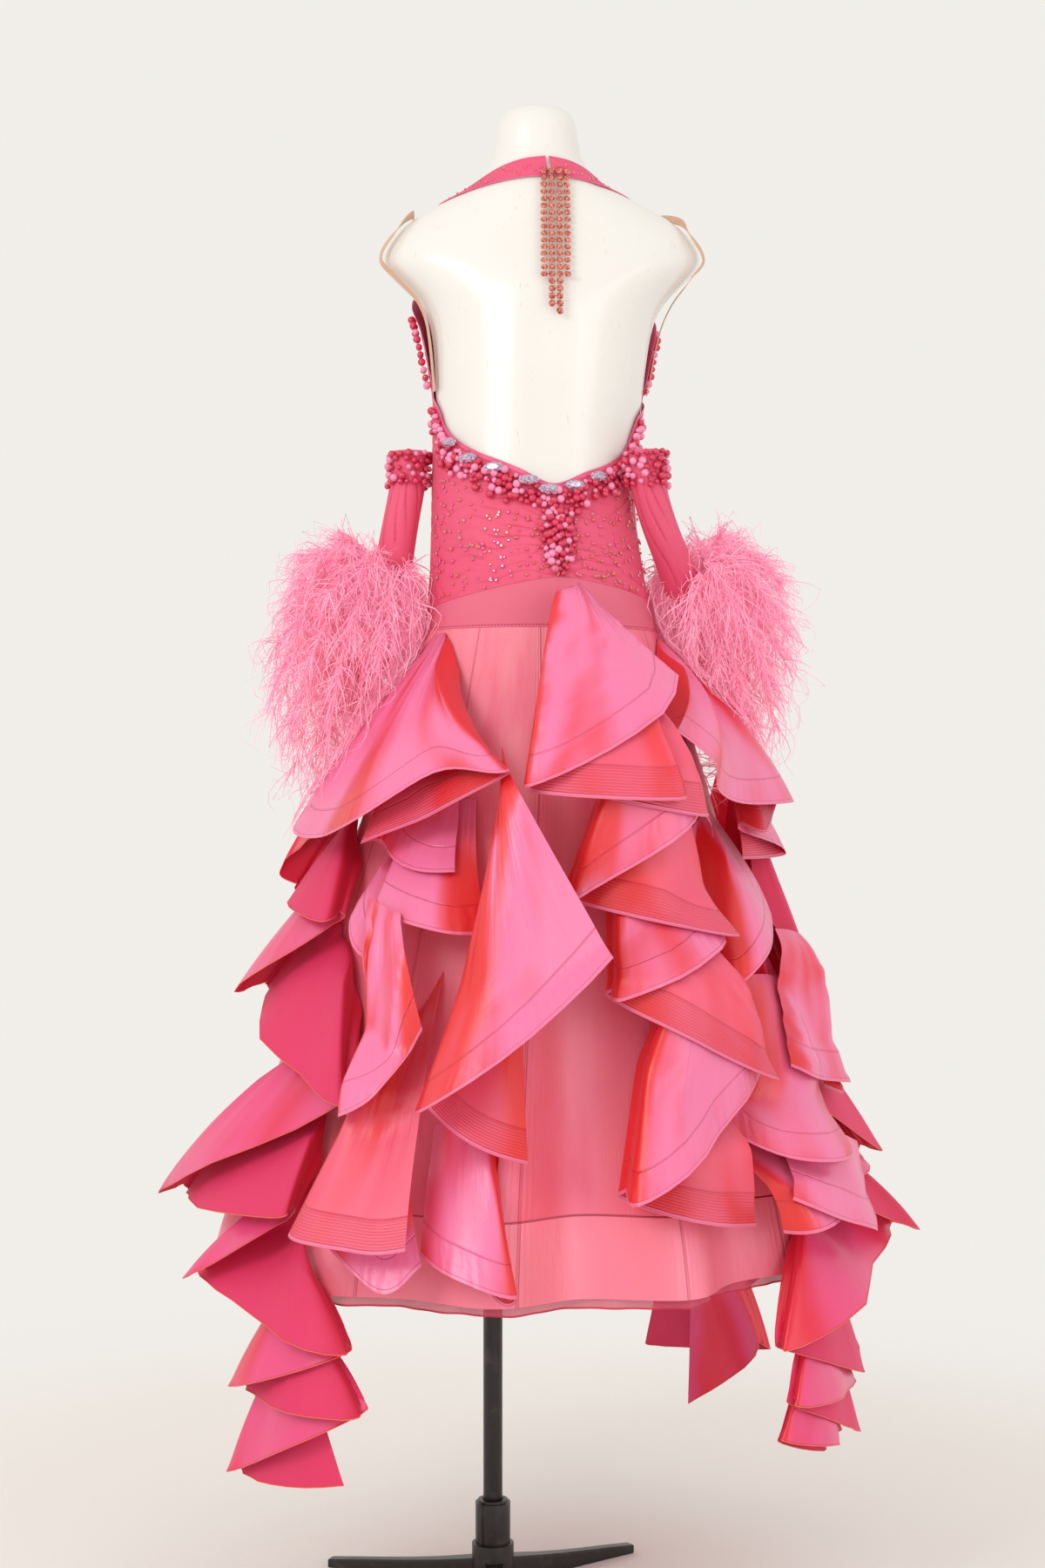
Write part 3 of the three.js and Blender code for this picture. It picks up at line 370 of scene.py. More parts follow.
SEWN_SHUT = 0.00002             # m, within which the ends of a tube become one


def section(height, part):
    """The close-fitting gown's centre, half width, back or front at a height."""
    upper = read(FORM_SECTIONS, "height", height, part) + (CLOTH_EASE if part in SIDES else 0)
    return np.where(height < SKIRT_SEAM, read(SKIRT_SECTIONS, "height", height, part), upper)


def on_gown(turn, height, out=0.0):
    """Places in mm from the turn about the upright axis, the height and how far out they stand."""
    turn, height, out = np.broadcast_arrays(turn, height, out)
    down = np.clip((FLUTES_START - height) / (FLUTES_START - HEM), 0, 1)
    wave = sum(depth * np.cos(np.radians(count * turn + phase)) for count, depth, phase in zip(
        FLUTES["count"], FLUTES["depth"], FLUTES["phase"]))
    out = out + wave * down * np.exp(-abs(out) / 60)
    angle = np.radians(turn)
    depth = np.where(np.cos(angle) > 0, section(height, "back"), section(height, "front"))
    x = section(height, "centre") + (section(height, "half_width") + out) * np.sin(angle)
    return np.stack([x, -(depth + out) * np.cos(angle), height + 0.0 * angle], axis=-1)


def unit(ways):
    """Directions, each made one unit long."""
    return ways / np.maximum(np.linalg.norm(ways, axis=-1, keepdims=True), 1e-9)


def lengths(rows, axis):
    """How far along the cloth each place is from the first, in mm, down (0) or across (1) it."""
    steps = np.linalg.norm(np.diff(rows, axis=axis), axis=-1)
    return np.concatenate([np.zeros_like(steps.take([0], axis)), np.cumsum(steps, axis=axis)], axis=axis)


def built(name, points, faces, **marks):
    """A piece with these places in mm and faces. marks are numbers that its points carry."""
    mesh = bpy.data.meshes.new(name)
    mesh.from_pydata((points / 1000).tolist(), [], faces)
    for mark, value in marks.items():
        mesh.attributes.new(mark, "FLOAT", "POINT").data.foreach_set("value", value.astype(np.float32))
    mesh.polygons.foreach_set("use_smooth", [True] * len(faces))
    obj = bpy.data.objects.new(name, mesh)
    bpy.context.scene.collection.objects.link(obj)
    return obj


def cloth(name, rows, thick, closed=False, uv=None, **marks):
    """A thin cloth: rows of places from its top edge down, each from left to right from outside.
    uv is in metres, along the cloth and up from its lower edge. marks are kept as attributes, with
    side (0 outside, 1 inside) and flank (how far it turns its face along the figure)."""
    down, across = rows.shape[:2]
    facing = unit(np.cross(np.gradient(rows, axis=0), np.gradient(rows, axis=1)))
    if closed:
        facing[:, 0] = facing[:, -1] = facing[:, 0] + facing[:, -1]
        facing = unit(facing)
    if uv is None:
        drop = lengths(rows, 0)
        along = np.broadcast_to(lengths(rows, 1)[-1], (down, across))
        uv = np.stack([along, drop[-1] - drop], axis=-1) / 1000
    round_axis = unit(rows[..., :2] - np.array(GOWN_AXIS))
    flank = np.abs(facing[..., 0] * -round_axis[..., 1] + facing[..., 1] * round_axis[..., 0])
    points = np.concatenate([rows + facing * thick / 2, rows - facing * thick / 2]).reshape(-1, 3)
    spot = np.arange(down * across).reshape(down, across)
    inside = spot + down * across
    a, b, c, d = spot[:-1, :-1], spot[:-1, 1:], spot[1:, :-1], spot[1:, 1:]
    faces = [np.stack([a, c, d, b], -1).reshape(-1, 4)]
    faces.append(np.stack([a, b, d, c], -1).reshape(-1, 4) + down * across)
    rims = [(spot[0], inside[0]), (spot[-1, ::-1], inside[-1, ::-1])]
    if not closed:
        rims += [(spot[::-1, 0], inside[::-1, 0]), (spot[:, -1], inside[:, -1])]
    faces += [np.stack([edge[:-1], edge[1:], under[1:], under[:-1]], -1) for edge, under in rims]
    faces = np.concatenate(faces)
    marks |= {"side": np.zeros((down, across)), "flank": flank}
    for mark, value in marks.items():
        value = np.broadcast_to(value, (down, across)).ravel()
        marks[mark] = np.concatenate([value, value + 1 if mark == "side" else value])
    obj = built(name, points, faces.tolist(), **marks)
    flat = np.concatenate([uv, uv]).reshape(-1, 2)[faces.ravel()].astype(np.float32)
    obj.data.uv_layers.new(name="cut").data.foreach_set("uv", flat.ravel())
    obj.data.set_sharp_from_angle(angle=SHARP_EDGE)
    if closed:
        on_all(obj, bpy.ops.mesh.remove_doubles, threshold=SEWN_SHUT)
    return obj


NECKLINE = table("""turn height
    -79 1362, -66 1342, -60 1325, -49 1308, -34 1292, -20 1281, -7 1270, 11 1254, 30 1268,
    48 1282, 60 1300, 66 1321, 72 1338, 101 1362
""")
YOKE_ARCH = table("""turn height
    -79 1116, -40 1130, -11 1142, 12 1149, 33 1143, 66 1131, 101 1116
""")
FRONT_ROWS = table("""height from to out
    1577 175 207 0, 1535 169 213 0, 1510 160 222 3, 1490 142 240 8, 1463 117 265 13,
    1440 107 275 12, 1400 103 279 6, 1361 101 281 0, 1300 101 281 0, 1240 101 281 0,
    1175 101 281 0, 1116 101 281 0
""")
MESH_THICK = 0.5
RUCHING = {"back": 1.6, "front": 1.2}   # depth of the folds in mm
FOLDS = {"back": 11, "front": 20}
FRONT = {"high": 1577, "armhole": 1362, "low": 1116}
NO_EDGE = 99                    # mm, past any binding
BINDING_WIDTH = 5.5             # mm, of the satin binding on the open edges
PINK_SHEEN = colour(255, 150, 176)


def fabric(name, sheen, blur, **fixed):
    """A cloth's material, with places on it as it was cut: in metres along it, and up from its edge."""
    made, start, surface = material(name, Sheen_Weight=sheen, Sheen_Roughness=blur, Sheen_Tint=PINK_SHEEN,
                                    **fixed)
    cut = start.node("UVMap", {"uv_map": "cut"})
    return (made, start, surface, cut, *cut.axes()[:2])


power_mesh, start, surface, cut, along, rise = fabric("pink_power_mesh", 0.25, 0.5)
cloud = cut.noise(14, 4)
fine = cut.stretched(1, 9, 1).noise(60, 5)
holes = (along * 4200).sine() * (rise * 4200).sine()
bound = start.mark("edge").step(BINDING_WIDTH - 0.3, BINDING_WIDTH + 0.3, 1, 0)
# Painted shade: the mesh is painted dark red in the creases of its ruching, by how deep each crease sinks,
# with a little random tone mixed in.
painted_crease_shade = (start.mark("crease") + fine * 0.4 - 0.2).step(-1.0, 0.0, 1, 0) * (1 - bound)
tone = (painted_crease_shade * 0.7 + cloud * 0.2).blend(colour(238, 92, 128), colour(204, 36, 80))
dress(surface, start, bound.blend(tone, colour(240, 104, 146)),
      bound * -0.2 + cloud.step(0.3, 0.7, 0.55, 0.7),
      fine * 0.4 * (1 - bound) + holes * 0.08 + bound * 0.8, 0.0012)


def slow_noise(turn, height, wide, tall, seed):
    """A smooth wander between -1 and 1 over the figure."""
    ways = np.random.default_rng(seed)
    total = 0
    for _ in range(6):
        a, b = ways.normal(0, 1, 2)
        total = total + np.sin(turn / wide * 2 * a + height / tall * 2 * b + ways.uniform(0, 6.28))
    return total / 3


def ruched(turn, share, height, folds, depth, seed):
    """The height of gathered folds that run round the figure: flat, with narrow creases between."""
    wander = slow_noise(turn, height, 34, 90, seed) * 0.8
    strength = 0.5 + 0.5 * slow_noise(turn, height, 20, 26, seed + 1)
    wave = np.abs(np.sin(np.pi * (share * folds + wander)))
    return -depth * (1 - wave) ** 3 * np.clip(strength, 0.05, 1)


turns = np.linspace(LEFT_SEAM + SIDE_GAP, RIGHT_SEAM - SIDE_GAP, 170)
turn, share = np.meshgrid(turns, np.linspace(0, 1, 130))
neckline = read(NECKLINE, "turn", turn, "height")
height = neckline * (1 - share) + read(YOKE_ARCH, "turn", turn, "height") * share
gather = ruched(turn, share, height, FOLDS["back"], RUCHING["back"], 3)
gather *= np.sin(np.pi * np.clip(share * 6, 0, 0.5))
bodice = cloth("bodice_back_ruched", on_gown(turn, height, gather + 0.5), MESH_THICK,
               crease=gather / RUCHING["back"], edge=neckline - height)
keep(bodice, power_mesh, "mesh", "bodice_back")

levels = np.linspace(FRONT["high"], FRONT["low"], 150)
level, share = np.meshgrid(levels, np.linspace(0, 1, 130), indexing="ij")
first, last, out = read(FRONT_ROWS, "height", level, "from", "to", "out")
first, last = first + SIDE_GAP, last - SIDE_GAP
turn = first + (last - first) * share
drop = (FRONT["high"] - level) / (FRONT["high"] - FRONT["low"])
gather = ruched(turn, drop, level, FOLDS["front"], RUCHING["front"], 5)
side_edge = np.minimum(share, 1 - share) * np.radians(last - first) * 120
side_edge = np.where(level > FRONT["armhole"], side_edge, NO_EDGE)
bodice = cloth("bodice_front_ruched", on_gown(turn, level, out + gather), MESH_THICK,
               crease=gather / RUCHING["front"], edge=side_edge)
keep(bodice, power_mesh, "mesh", "bodice_front")

# ---- The yoke ----
# A smooth yoke of pink stretch crepe over the hips, its top edge cut in an arch at the back. It is
# lined, lies tight on the figure and is topstitched to the ruched mesh above.

YOKE_SIDE = 1116
SEAM_GAP = 0.3

crepe, start, surface, cut, along, rise = fabric("pink_crepe", 0.3, 0.4)
weave = (along * 5200).sine() * (rise * 5200).sine()
cloud = cut.noise(9, 4)
fine = cut.noise(240, 3)
stitches = (rise - 0.0025).away().step(0.0004, 0.0009, 1, 0) * (along * 1600).sine().step(-0.4, 0.1)
tone = cloud.blend(colour(242, 122, 148), colour(236, 104, 134))
dress(surface, start, stitches.blend(tone, colour(204, 56, 88)), cloud.step(0.3, 0.7, 0.5, 0.62),
      fine * 0.5 + weave * 0.25 - stitches, 0.0006)

YOKES = (("back", LEFT_SEAM, RIGHT_SEAM, 16, (0.40, 0.06), 0.016),
         ("front", RIGHT_SEAM, LEFT_SEAM + 360, 8, (0.37, 0.023), None))
for name, first, last, down, flat, area in YOKES:
    turn, share = np.meshgrid(np.linspace(first + SIDE_GAP, last - SIDE_GAP, 120), np.linspace(0, 1, down))
    top = (read(YOKE_ARCH, "turn", turn, "height") if name == "back" else YOKE_SIDE) - SEAM_GAP
    height = top + (SKIRT_SEAM + SEAM_GAP / 2 - top) * share
    yoke = cloth("yoke_%s_panel" % name, on_gown(turn, height, 0.1), 0.8)
    keep(yoke, crepe, "yoke", "yoke_" + name)

# ---- The neck band and straps ----
# A halter band of the pink mesh over a nude lining, in two halves that meet with a hook at the
# centre back, and two nude elastic straps that run over the shoulders and keep the bodice up.

BAND_ROWS = table("""turn height half
    2 1616 11.5, 30 1613 11, 58 1606 10, 86 1595 8, 116 1588 7, 146 1585 7, 179 1585 7
""")
BAND_FOLDS = 3
BAND_GATHER = 0.5
STRAP_HALF = 4.5
STRAPS = {
    "left": table("""turn height out
        219 1506 4.3, 228 1516 4, 238 1540 4, 252 1564 4, 275 1572 6, 294 1548 4,
        291 1512 4, 287 1470 8, 287 1430 8, 287 1366 2
    """),
    "right": table("""turn height out
        163 1506 4.3, 154 1516 4, 144 1540 4, 130 1564 4, 103 1572 5.6, 68 1548 4,
        72 1512 4, 86 1470 10, 92 1430 8, 92 1366 2
    """),
}

for side, sign in (("left", -1), ("right", 1)):
    turn, share = np.meshgrid(np.linspace(2, 179, 120), np.linspace(1, -1, 12))
    height, half = read(BAND_ROWS, "turn", turn, "height", "half")
    height = height + share * half
    gather = ruched(turn, share / 2, height, BAND_FOLDS, BAND_GATHER, 9) * (1 - share ** 2)
    rows = on_gown(CENTRE_BACK + sign * turn, height, 1 + gather)
    band = cloth("halter_band_" + side, rows if sign > 0 else rows[:, ::-1], 1.2,
                 crease=gather / BAND_GATHER, edge=20 * (1 - abs(share)) + 3.5)
    keep(band, power_mesh, "mesh", "neck_band_" + side)

elastic, start, surface = material("nude_elastic", Roughness=0.7, Sheen_Weight=0.2)
cut = start.node("UVMap", {"uv_map": "cut"})
ribs = (cut.axes()[0] * 3600).sine()
worn = cut.noise(40, 4)
dress(surface, start, (worn * 0.6 + ribs * 0.15).blend(colour(240, 200, 168), colour(226, 172, 138)),
      height=ribs, depth=0.0003)


def strip(knots, steps, half):
    """A narrow band along a path on the figure, as two edges that lie flat on it."""
    rows = {**knots, "i": np.arange(len(knots["turn"]), dtype=float)}
    i = np.linspace(0, len(knots["turn"]) - 1, steps)
    turn, height, out = read(rows, "i", i, "turn", "height", "out")
    path = on_gown(turn, height, out)
    ahead = np.gradient(path, axis=0)
    sideways = half * unit(np.cross(on_gown(turn, height, out + 5) - path, ahead))
    return np.stack([path + side * sideways for side in (1, 0.33, -0.33, -1)])


for side in ("left", "right"):
    strap = cloth("shoulder_strap_" + side, strip(STRAPS[side], 110, STRAP_HALF)[::-1], 0.8)
    keep(strap, elastic, "elastic", "strap_" + side)

# ---- The skirt ----
# Flared gores of pink organza-faced satin, sewn together with narrow seams and hung from the yoke.
# The hem is turned up in a deep band that is stitched round, and falls in soft flutes.

GORES = 12
HEM_BAND = 0.085
DRAPE = 2.2                     # mm, by which the cloth falls in between the flutes

skirt_cloth, start, surface, cut, along, rise = fabric("skirt_satin", 0.35, 0.3)
cloud = cut.stretched(6, 1.2, 1).noise(5, 5)
fibre = cut.stretched(1400, 30, 1).noise(1, 2)
gore = ((along * GORES + 0.5).part() - 0.5).away() * (1.9 / GORES)
seams = gore.step(0.0008, 0.0018, 1, 0)
band = (rise - HEM_BAND).away().step(0.0006, 0.0016, 1, 0)
turned_hem = rise.step(HEM_BAND - 0.001, HEM_BAND + 0.001, 1, 0)
puckers = (along * 1900 + cut.noise(20) * 6).sine() * gore.step(0.004, 0.02, 1, 0)
tone = rise.step(0.0, 0.7).blend(colour(246, 124, 152), colour(246, 138, 156))
# Painted shade: the skirt is painted deeper red where its cloth turns sideways, on the sides of its flutes.
tone = (start.mark("flank") * 1.4).step(0.2, 0.9).blend(tone, colour(232, 84, 102))
tone = cloud.step(0.35, 0.75).blend(tone, colour(240, 104, 134))
# Painted highlight: the turned-up hem band is painted lighter, for the sheen on its glossier cloth.
tone = (turned_hem * 0.5).blend(tone, colour(252, 142, 162))
tone = (seams * 0.4 + band * 0.35).blend(tone, colour(206, 56, 88))
tone = (start.mark("side") * 0.8).blend(tone, colour(214, 50, 80))
dress(surface, start, tone, cloud.step(0.3, 0.7, 0.36, 0.5) - turned_hem * 0.1,
      fibre * 0.25 - seams * 0.8 - band * 0.6 + puckers * 0.12 + cloud * turned_hem * 4, 0.0012)

for name, first, last in (("back", LEFT_SEAM, RIGHT_SEAM), ("front", RIGHT_SEAM, LEFT_SEAM + 360)):
    turns = np.linspace(first + SIDE_GAP / 2, last - SIDE_GAP / 2, 220)
    turn, share = np.meshgrid(turns, np.linspace(0, 1, 70))
    top = SKIRT_SEAM - SEAM_GAP / 2
    height = top + (HEM - top) * share
    drape = DRAPE * (1 + slow_noise(turn, height, 9, 1500, 21)) * share ** 0.6 * np.clip(share * 5, 0, 1)
    rows = on_gown(turn, height, -0.3 - drape)
    drop = lengths(rows, 0)
    uv = np.stack([turn / 360 + 0 * share, (drop[-1] - drop) / 1000], axis=-1)
    skirt = cloth("skirt_panel_" + name, rows, 0.7, uv=uv)
    keep(skirt, skirt_cloth, "skirt", "skirt_" + name)

# ---- The petticoat ----
# A stiff frill of clear pink organza that stands inside the hem and peeks out under it. It is
# gathered on a tape inside the skirt, and its lower edge is finished with fine nylon line.

organza, start, surface, cut, along, rise = fabric("pink_organza", 0.3, 0.5, Roughness=0.45)
edge = rise.step(0.0012, 0.0024, 1, 0)
threads = (along * 5200).sine() * 0.5 + (rise * 5200).sine() * 0.5
cloud = cut.noise(12, 3)
tone = cloud.blend(colour(240, 110, 134), colour(232, 90, 120))
dress(surface, start, edge.blend(tone, colour(214, 44, 76)), height=threads, depth=0.0002,
      alpha=edge * 0.35 + threads * 0.05 + 0.62)

FRILL = {"top": 455, "drop": 74, "inside": 12.5, "pleats": 22, "depth": 4}
turn, share = np.meshgrid(np.linspace(0, 360, 881), np.linspace(0, 1, 14))
pleats = FRILL["depth"] * np.cos(np.radians(FRILL["pleats"] * turn))
frill = pleats + 1.5 * np.cos(np.radians(57 * turn + 30)) * share
rows = on_gown(turn, FRILL["top"] - FRILL["drop"] * share, frill - FRILL["inside"])
petticoat = cloth("petticoat_frill", rows, 0.4, closed=True)
keep(petticoat, organza, "organza", "petticoat")

# ---- The flounces ----
# Spiral-cut strips of shot satin, sewn on along their inner curve and free at the hem, so that each
# falls in leaves that lie over one another. A stiff braid under a facing holds out the hem, with
# rows of fine stitching on its underside and a narrow lighter binding round the edge.

TUCK_SPEED = 4
BELLY = 15                      # how far the middle of a leaf stands out
SAG = 13                        # and how far it hangs below its ends
FULLNESS = {"flounce": 0.85, "float": 0.62}     # a low one spreads near the seam and then falls straight
FLOUNCE_THICK = 0.7
LAY_THICK = 2.1                 # cloth and air, from leaf to leaf
TUCK = 1.9                      # how much deeper the rolls are than in the solids
TURN_REACH = 0.35               # of the way from a turn to the next, that is rolled
RIPPLE = 4.6                    # height of the soft ripples, and how far apart they come
RIPPLES = (27, 15)
# for each flounce: the turn, height and out of its seam, and its hem, where each row is how far along
# it lies in hundredths, its turn, height and out, how its cloth spreads and how far it rolls over there
FLOUNCES = {
    "right_float_front": ("""
     104 960 40, 112 850 4.4, 122 700 2.6, 132 560 3.6, 138 430 8, 140 300 8
     """, """
     0 106 790 34 1 0, 18 134 660 46 1 8, 34 112 560 36 1 7, 52 150 440 44 1 8,
     66 122 345 32 1 7, 80 153 210 34 1 8, 90 128 225 24 1 6, 100 142 138 20 1 0
     """),
    "left_float": ("""
     -88 990 34, -74 900 8, -64 800 2.6, -55 690 2.6, -49 570 6, -44 450 8, -40 330 8
     """, """
     0 -82 875 40 1 0, 10 -86 806 48 0.8 8, 22 -52 782 32 0.8 6, 34 -82 696 48 0.8 8,
     46 -36 600 32 0.8 7, 60 -79 473 64 1 9, 70 -43 480 36 0.8 7, 79 -62 400 46 0.8 8,
     87 -28 352 30 0.8 7, 92 -51 295 36 0.8 6, 95 -26 290 26 0.8 5, 98 -52 205 30 0.9 5,
     100 -29 205 18 1 0
     """),
    "right_float": ("""
     98 955 44, 86 860 5, 80 750 3, 76 640 3, 72 530 6, 70 430 8, 68 320 8
     """, """
     0 74 790 36 1 0, 16 86 640 54 0.9 8, 28 62 606 36 0.8 7, 44 88 508 80 1 9,
     54 66 490 50 0.8 8, 66 86 424 94 1.1 10, 78 50 336 32 0.8 7, 86 84 262 34 0.8 6,
     91 53 272 26 0.8 5, 95 82 200 30 0.9 5, 98 53 230 18 0.9 4, 100 75 192 14 1 0
     """),
    "centre_hem_tier": ("""
     -19 566 3.6, -11 574 3.6, -4 562 3.6
     """, """
     0 -16 446 34 1 0, 40 -8 439 46 1 0, 80 0 411 40 1 6, 100 -5 422 28 1 0
     """),
    "right_hem_tier": ("""
     45 558 3.6, 51 548 3.6, 57 530 3.6
     """, """
     0 51 446 24 1 0, 45 54 462 36 1 0, 100 67 472 30 1 0
     """),
    "right_tier_lower": ("""
     56 560 1.8, 66 548 1.8, 76 524 1.8
     """, """
     0 49 485 28 1 0, 50 59 468 40 1 0, 100 72 430 36 1 0
     """),
    "right_tier_middle": ("""
     57 712 1.8, 66 710 1.8, 77 694 1.8
     """, """
     0 43 556 36 1.4 0, 50 50 539 52 1.2 0, 100 68 517 40 1 0
     """),
    "right_tier_upper": ("""
     70 760 1.8, 76 756 1.8, 83 744 1.8
     """, """
     0 57 617 30 1 0, 40 63 614 42 1 0, 75 77 592 38 1 6, 100 72 586 22 1 0
     """),
    "left_hem_cascade": ("""
     -22 722 2.5, -25 691 2.5, -28 654 2.5, -31 610 2.5
     """, """
     0 -16 458 90 1 0, 24 -24 468 84 1 0, 46 -35 470 66 0.9 12, 74 -21 424 48 1 0,
     100 -15 438 36 1 0
     """),
    "right_swag": ("""
     76 892 1.8, 64 888 1.8, 53 868 1.8
     """, """
     0 67 776 56 1 0, 35 50 747 66 1 0, 70 40 708 56 1.1 8, 100 56 714 36 1 0
     """),
    "side_cascade": ("""
     52 1000 1.8, 58 1046 1.8, 68 1076 1.8, 78 1086 1.8, 86 1070 1.8, 89 1010 1.8
     """, """
     0 50 862 44 1 0, 14 38 905 58 1 0, 32 27 961 76 0.9 -13, 43 31 981 98 1 0, 54 37 956 98 1 0,
     63 40 924 86 1 0, 72 52 906 84 1 0, 82 74 902 78 1 9, 89 60 876 56 1 6, 96 84 852 60 1 0,
     100 58 838 46 1 0
     """),
    "left_gore": ("""
     -48 852 1.8, -34 840 1.8
     """, """
     0 -42 795 20 1 0, 30 -45 784 36 1 -6, 100 -31 731 46 1 0
     """),
    "left_tier": ("""
     -43 896 1.8, -33 906 1.8, -20 903 1.8
     """, """
     0 -32 802 26 1 0, 26 -36 791 44 1 -7, 62 -20 783 62 1 0, 100 -9 765 52 1.2 0
     """),
    "left_swag": ("""
     -38 800 1.8, -27 786 1.8
     """, """
     0 -29 602 26 1 0, 34 -31 584 42 1 -6, 66 -24 618 58 1 0, 100 -19 669 50 1 0
     """),
    "right_cascade": ("""
     17 1142 1.8, 14 1126 1.8, 20 1054 1.8, 26 939 1.3, 33 817 1.3, 38 690 1.8
     """, """
     0 36 1036 94 1.3 0, 13 -2 922 90 0.35 11, 20 27 913 72 0.8 6, 26 4 926 58 0.7 6,
     34 34 896 42 0.8 7, 44 8 809 44 1.2 8, 55 42 770 46 1.1 9, 66 16 707 48 0.6 10,
     79 48 618 52 1.2 10, 90 18 507 48 0.7 11, 100 45 457 44 1 0
     """),
    "centre_cascade": ("""
     -9 958 1.8, -7 915 1.8, -4 850 1.8
     """, """
     0 14 744 100 1.15 0, 55 -16 599 84 1.5 13, 100 1 537 48 1.1 0
     """),
    "left_cascade": ("""
     -56 1088 1.8, -49 1086 1.8, -41 1058 1.8, -29 958 1.8
     """, """
     0 -84 880 72 1 0, 8 -64 868 66 1 0, 20 -41 889 86 0.8 0, 31 -22 942 102 0.8 0,
     44 -6 934 88 1 11, 58 -22 904 62 1 0, 72 -41 860 52 0.9 10, 100 -18 828 36 1 0
     """),
}


def hem_rows(folds):
    """The hem's rows, with the two ends of each turn added. leaf counts the turns before a row."""
    leaf = 0
    rows = []
    for k, at in enumerate(folds["at"]):
        fold = {name: folds[name][k] for name in folds}
        if not fold["roll"]:
            rows.append({**fold, "tuck": 0, "leaf": leaf})
            continue
        before = {name: folds[name][k - 1] for name in folds}
        after = {name: folds[name][k + 1] for name in folds}
        way = np.sign(before["turn"] - fold["turn"])
        round_it = float(section(fold["height"], "half_width")) + fold["out"]
        swing = abs(fold["roll"]) * way * math.degrees(1) / round_it
        reach = min(at - before["at"], after["at"] - at) * TURN_REACH
        ends = []
        for sign, other in ((-1, before), (1, after)):
            fall = (other["height"] - fold["height"]) * abs(swing / (other["turn"] - fold["turn"]))
            ends.append({**fold, "at": at + sign * reach, "turn": fold["turn"] + swing,
                         "height": fold["height"] + fall, "tuck": -sign * fold["roll"],
                         "leaf": leaf + (sign > 0)})
        rows += [ends[0], {**fold, "tuck": 0, "leaf": leaf + 0.5}, ends[1]]
        leaf += 1
    rows = {name: np.array([float(row[name]) for row in rows]) for name in rows[0]}
    return {**rows, "i": np.arange(len(rows["at"]), dtype=float)}


def flounce_places(name, across, down):
    """A flounce as turn, height, out and leaf: rows from its seam down to its hem."""
    seam, folds = FLOUNCES[name]
    seam = table("turn height out\n" + seam)
    seam["share"] = np.linspace(0, 100, len(seam["turn"]))
    rows = hem_rows(table("at turn height out spread roll\n" + folds))
    i = np.linspace(0, len(rows["i"]) - 1, (len(rows["i"]) - 1) * across + 1)
    hem = {column: read(rows, "i", i, column) for column in rows if column not in ("leaf", "i")}
    at = np.clip(hem["at"], 0, 100)
    sewn = {column: read(seam, "share", at, column) for column in ("turn", "height", "out")}
    v = np.linspace(0, 1, down + 1)[:, None]
    rise = 0.7 * np.sin(np.pi / 2 * v) + 0.3 * v * v
    turns = rows["at"][rows["leaf"] % 1 == 0.5]
    ends = np.concatenate([[0], turns, [100]])
    own = np.clip(np.searchsorted(ends, hem["at"], side="right") - 1, 0, len(ends) - 2)
    belly = np.sin(np.pi * np.clip((hem["at"] - ends[own]) / (ends[own + 1] - ends[own]), 0, 1))
    arc = lengths(on_gown(hem["turn"], hem["height"], hem["out"])[:, None], 0)[:, 0]
    long, short = [np.sin(arc / size + k * len(name)) for k, size in enumerate(RIPPLES, 1)]
    ripple = long + 0.7 * short * (1 - v)
    fullness = FULLNESS["float" if "float" in name else "flounce"]
    turn = sewn["turn"] + (hem["turn"] - sewn["turn"]) * v ** (hem["spread"] * fullness)
    height = sewn["height"] + (hem["height"] - sewn["height"]) * v - SAG * belly * v ** 2
    tuck = TUCK * hem["tuck"] * np.minimum(1, v * TUCK_SPEED)
    out = sewn["out"] + (hem["out"] - sewn["out"]) * rise + tuck
    leaf = np.interp(i, rows["i"], rows["leaf"]) + 0 * v
    return turn, height, out + (ripple * RIPPLE + belly * BELLY) * v ** 1.2, leaf


# the highest cloth laid so far, over a grid of turns and heights
CELL_TURN = 2
CELL_HEIGHT = 8
GRID = (150, 180)
NOTHING = -1000.0
laid = np.full(GRID, NOTHING)
LIFT_SLOPE = 0.45
MM_PER_DEGREE = 4.2             # round the skirt, about half-way down
LAY_GRID = (12, 48)             # how finely a flounce is laid, across each step of its hem and down
FLOUNCE_MESH = (7, 34)          # and how finely it is built
OWN_LEAF = 0.25


def corners(turn, height):
    """The four cells of the grid round each place, and the share of each."""
    x = ((turn + 360) % 360) / CELL_TURN
    y = height / CELL_HEIGHT
    i, j = np.floor(x).astype(int), np.floor(y).astype(int)
    for di, wx in ((0, 1 - (x - i)), (1, x - i)):
        for dj, wy in ((0, 1 - (y - j)), (1, y - j)):
            yield (np.clip(j + dj, 0, GRID[0] - 1), (i + di) % GRID[1]), wx * wy


def lift_over(turn, height, out):
    """The least smooth lift that takes these places clear of all that is laid."""
    lift = np.zeros_like(laid)
    for cell, share in corners(turn, height):
        np.maximum.at(lift, cell, laid[cell] + LAY_THICK - out)
    for hop in (1, 2, 4, 8, 16, 32):
        fall = LIFT_SLOPE * hop
        for shift in (hop, -hop):
            lift = np.maximum(lift, np.roll(lift, shift, axis=1) - fall * MM_PER_DEGREE * CELL_TURN)
        lift[hop:] = np.maximum(lift[hop:], lift[:-hop] - fall * CELL_HEIGHT)
        lift[:-hop] = np.maximum(lift[:-hop], lift[hop:] - fall * CELL_HEIGHT)
    return lift


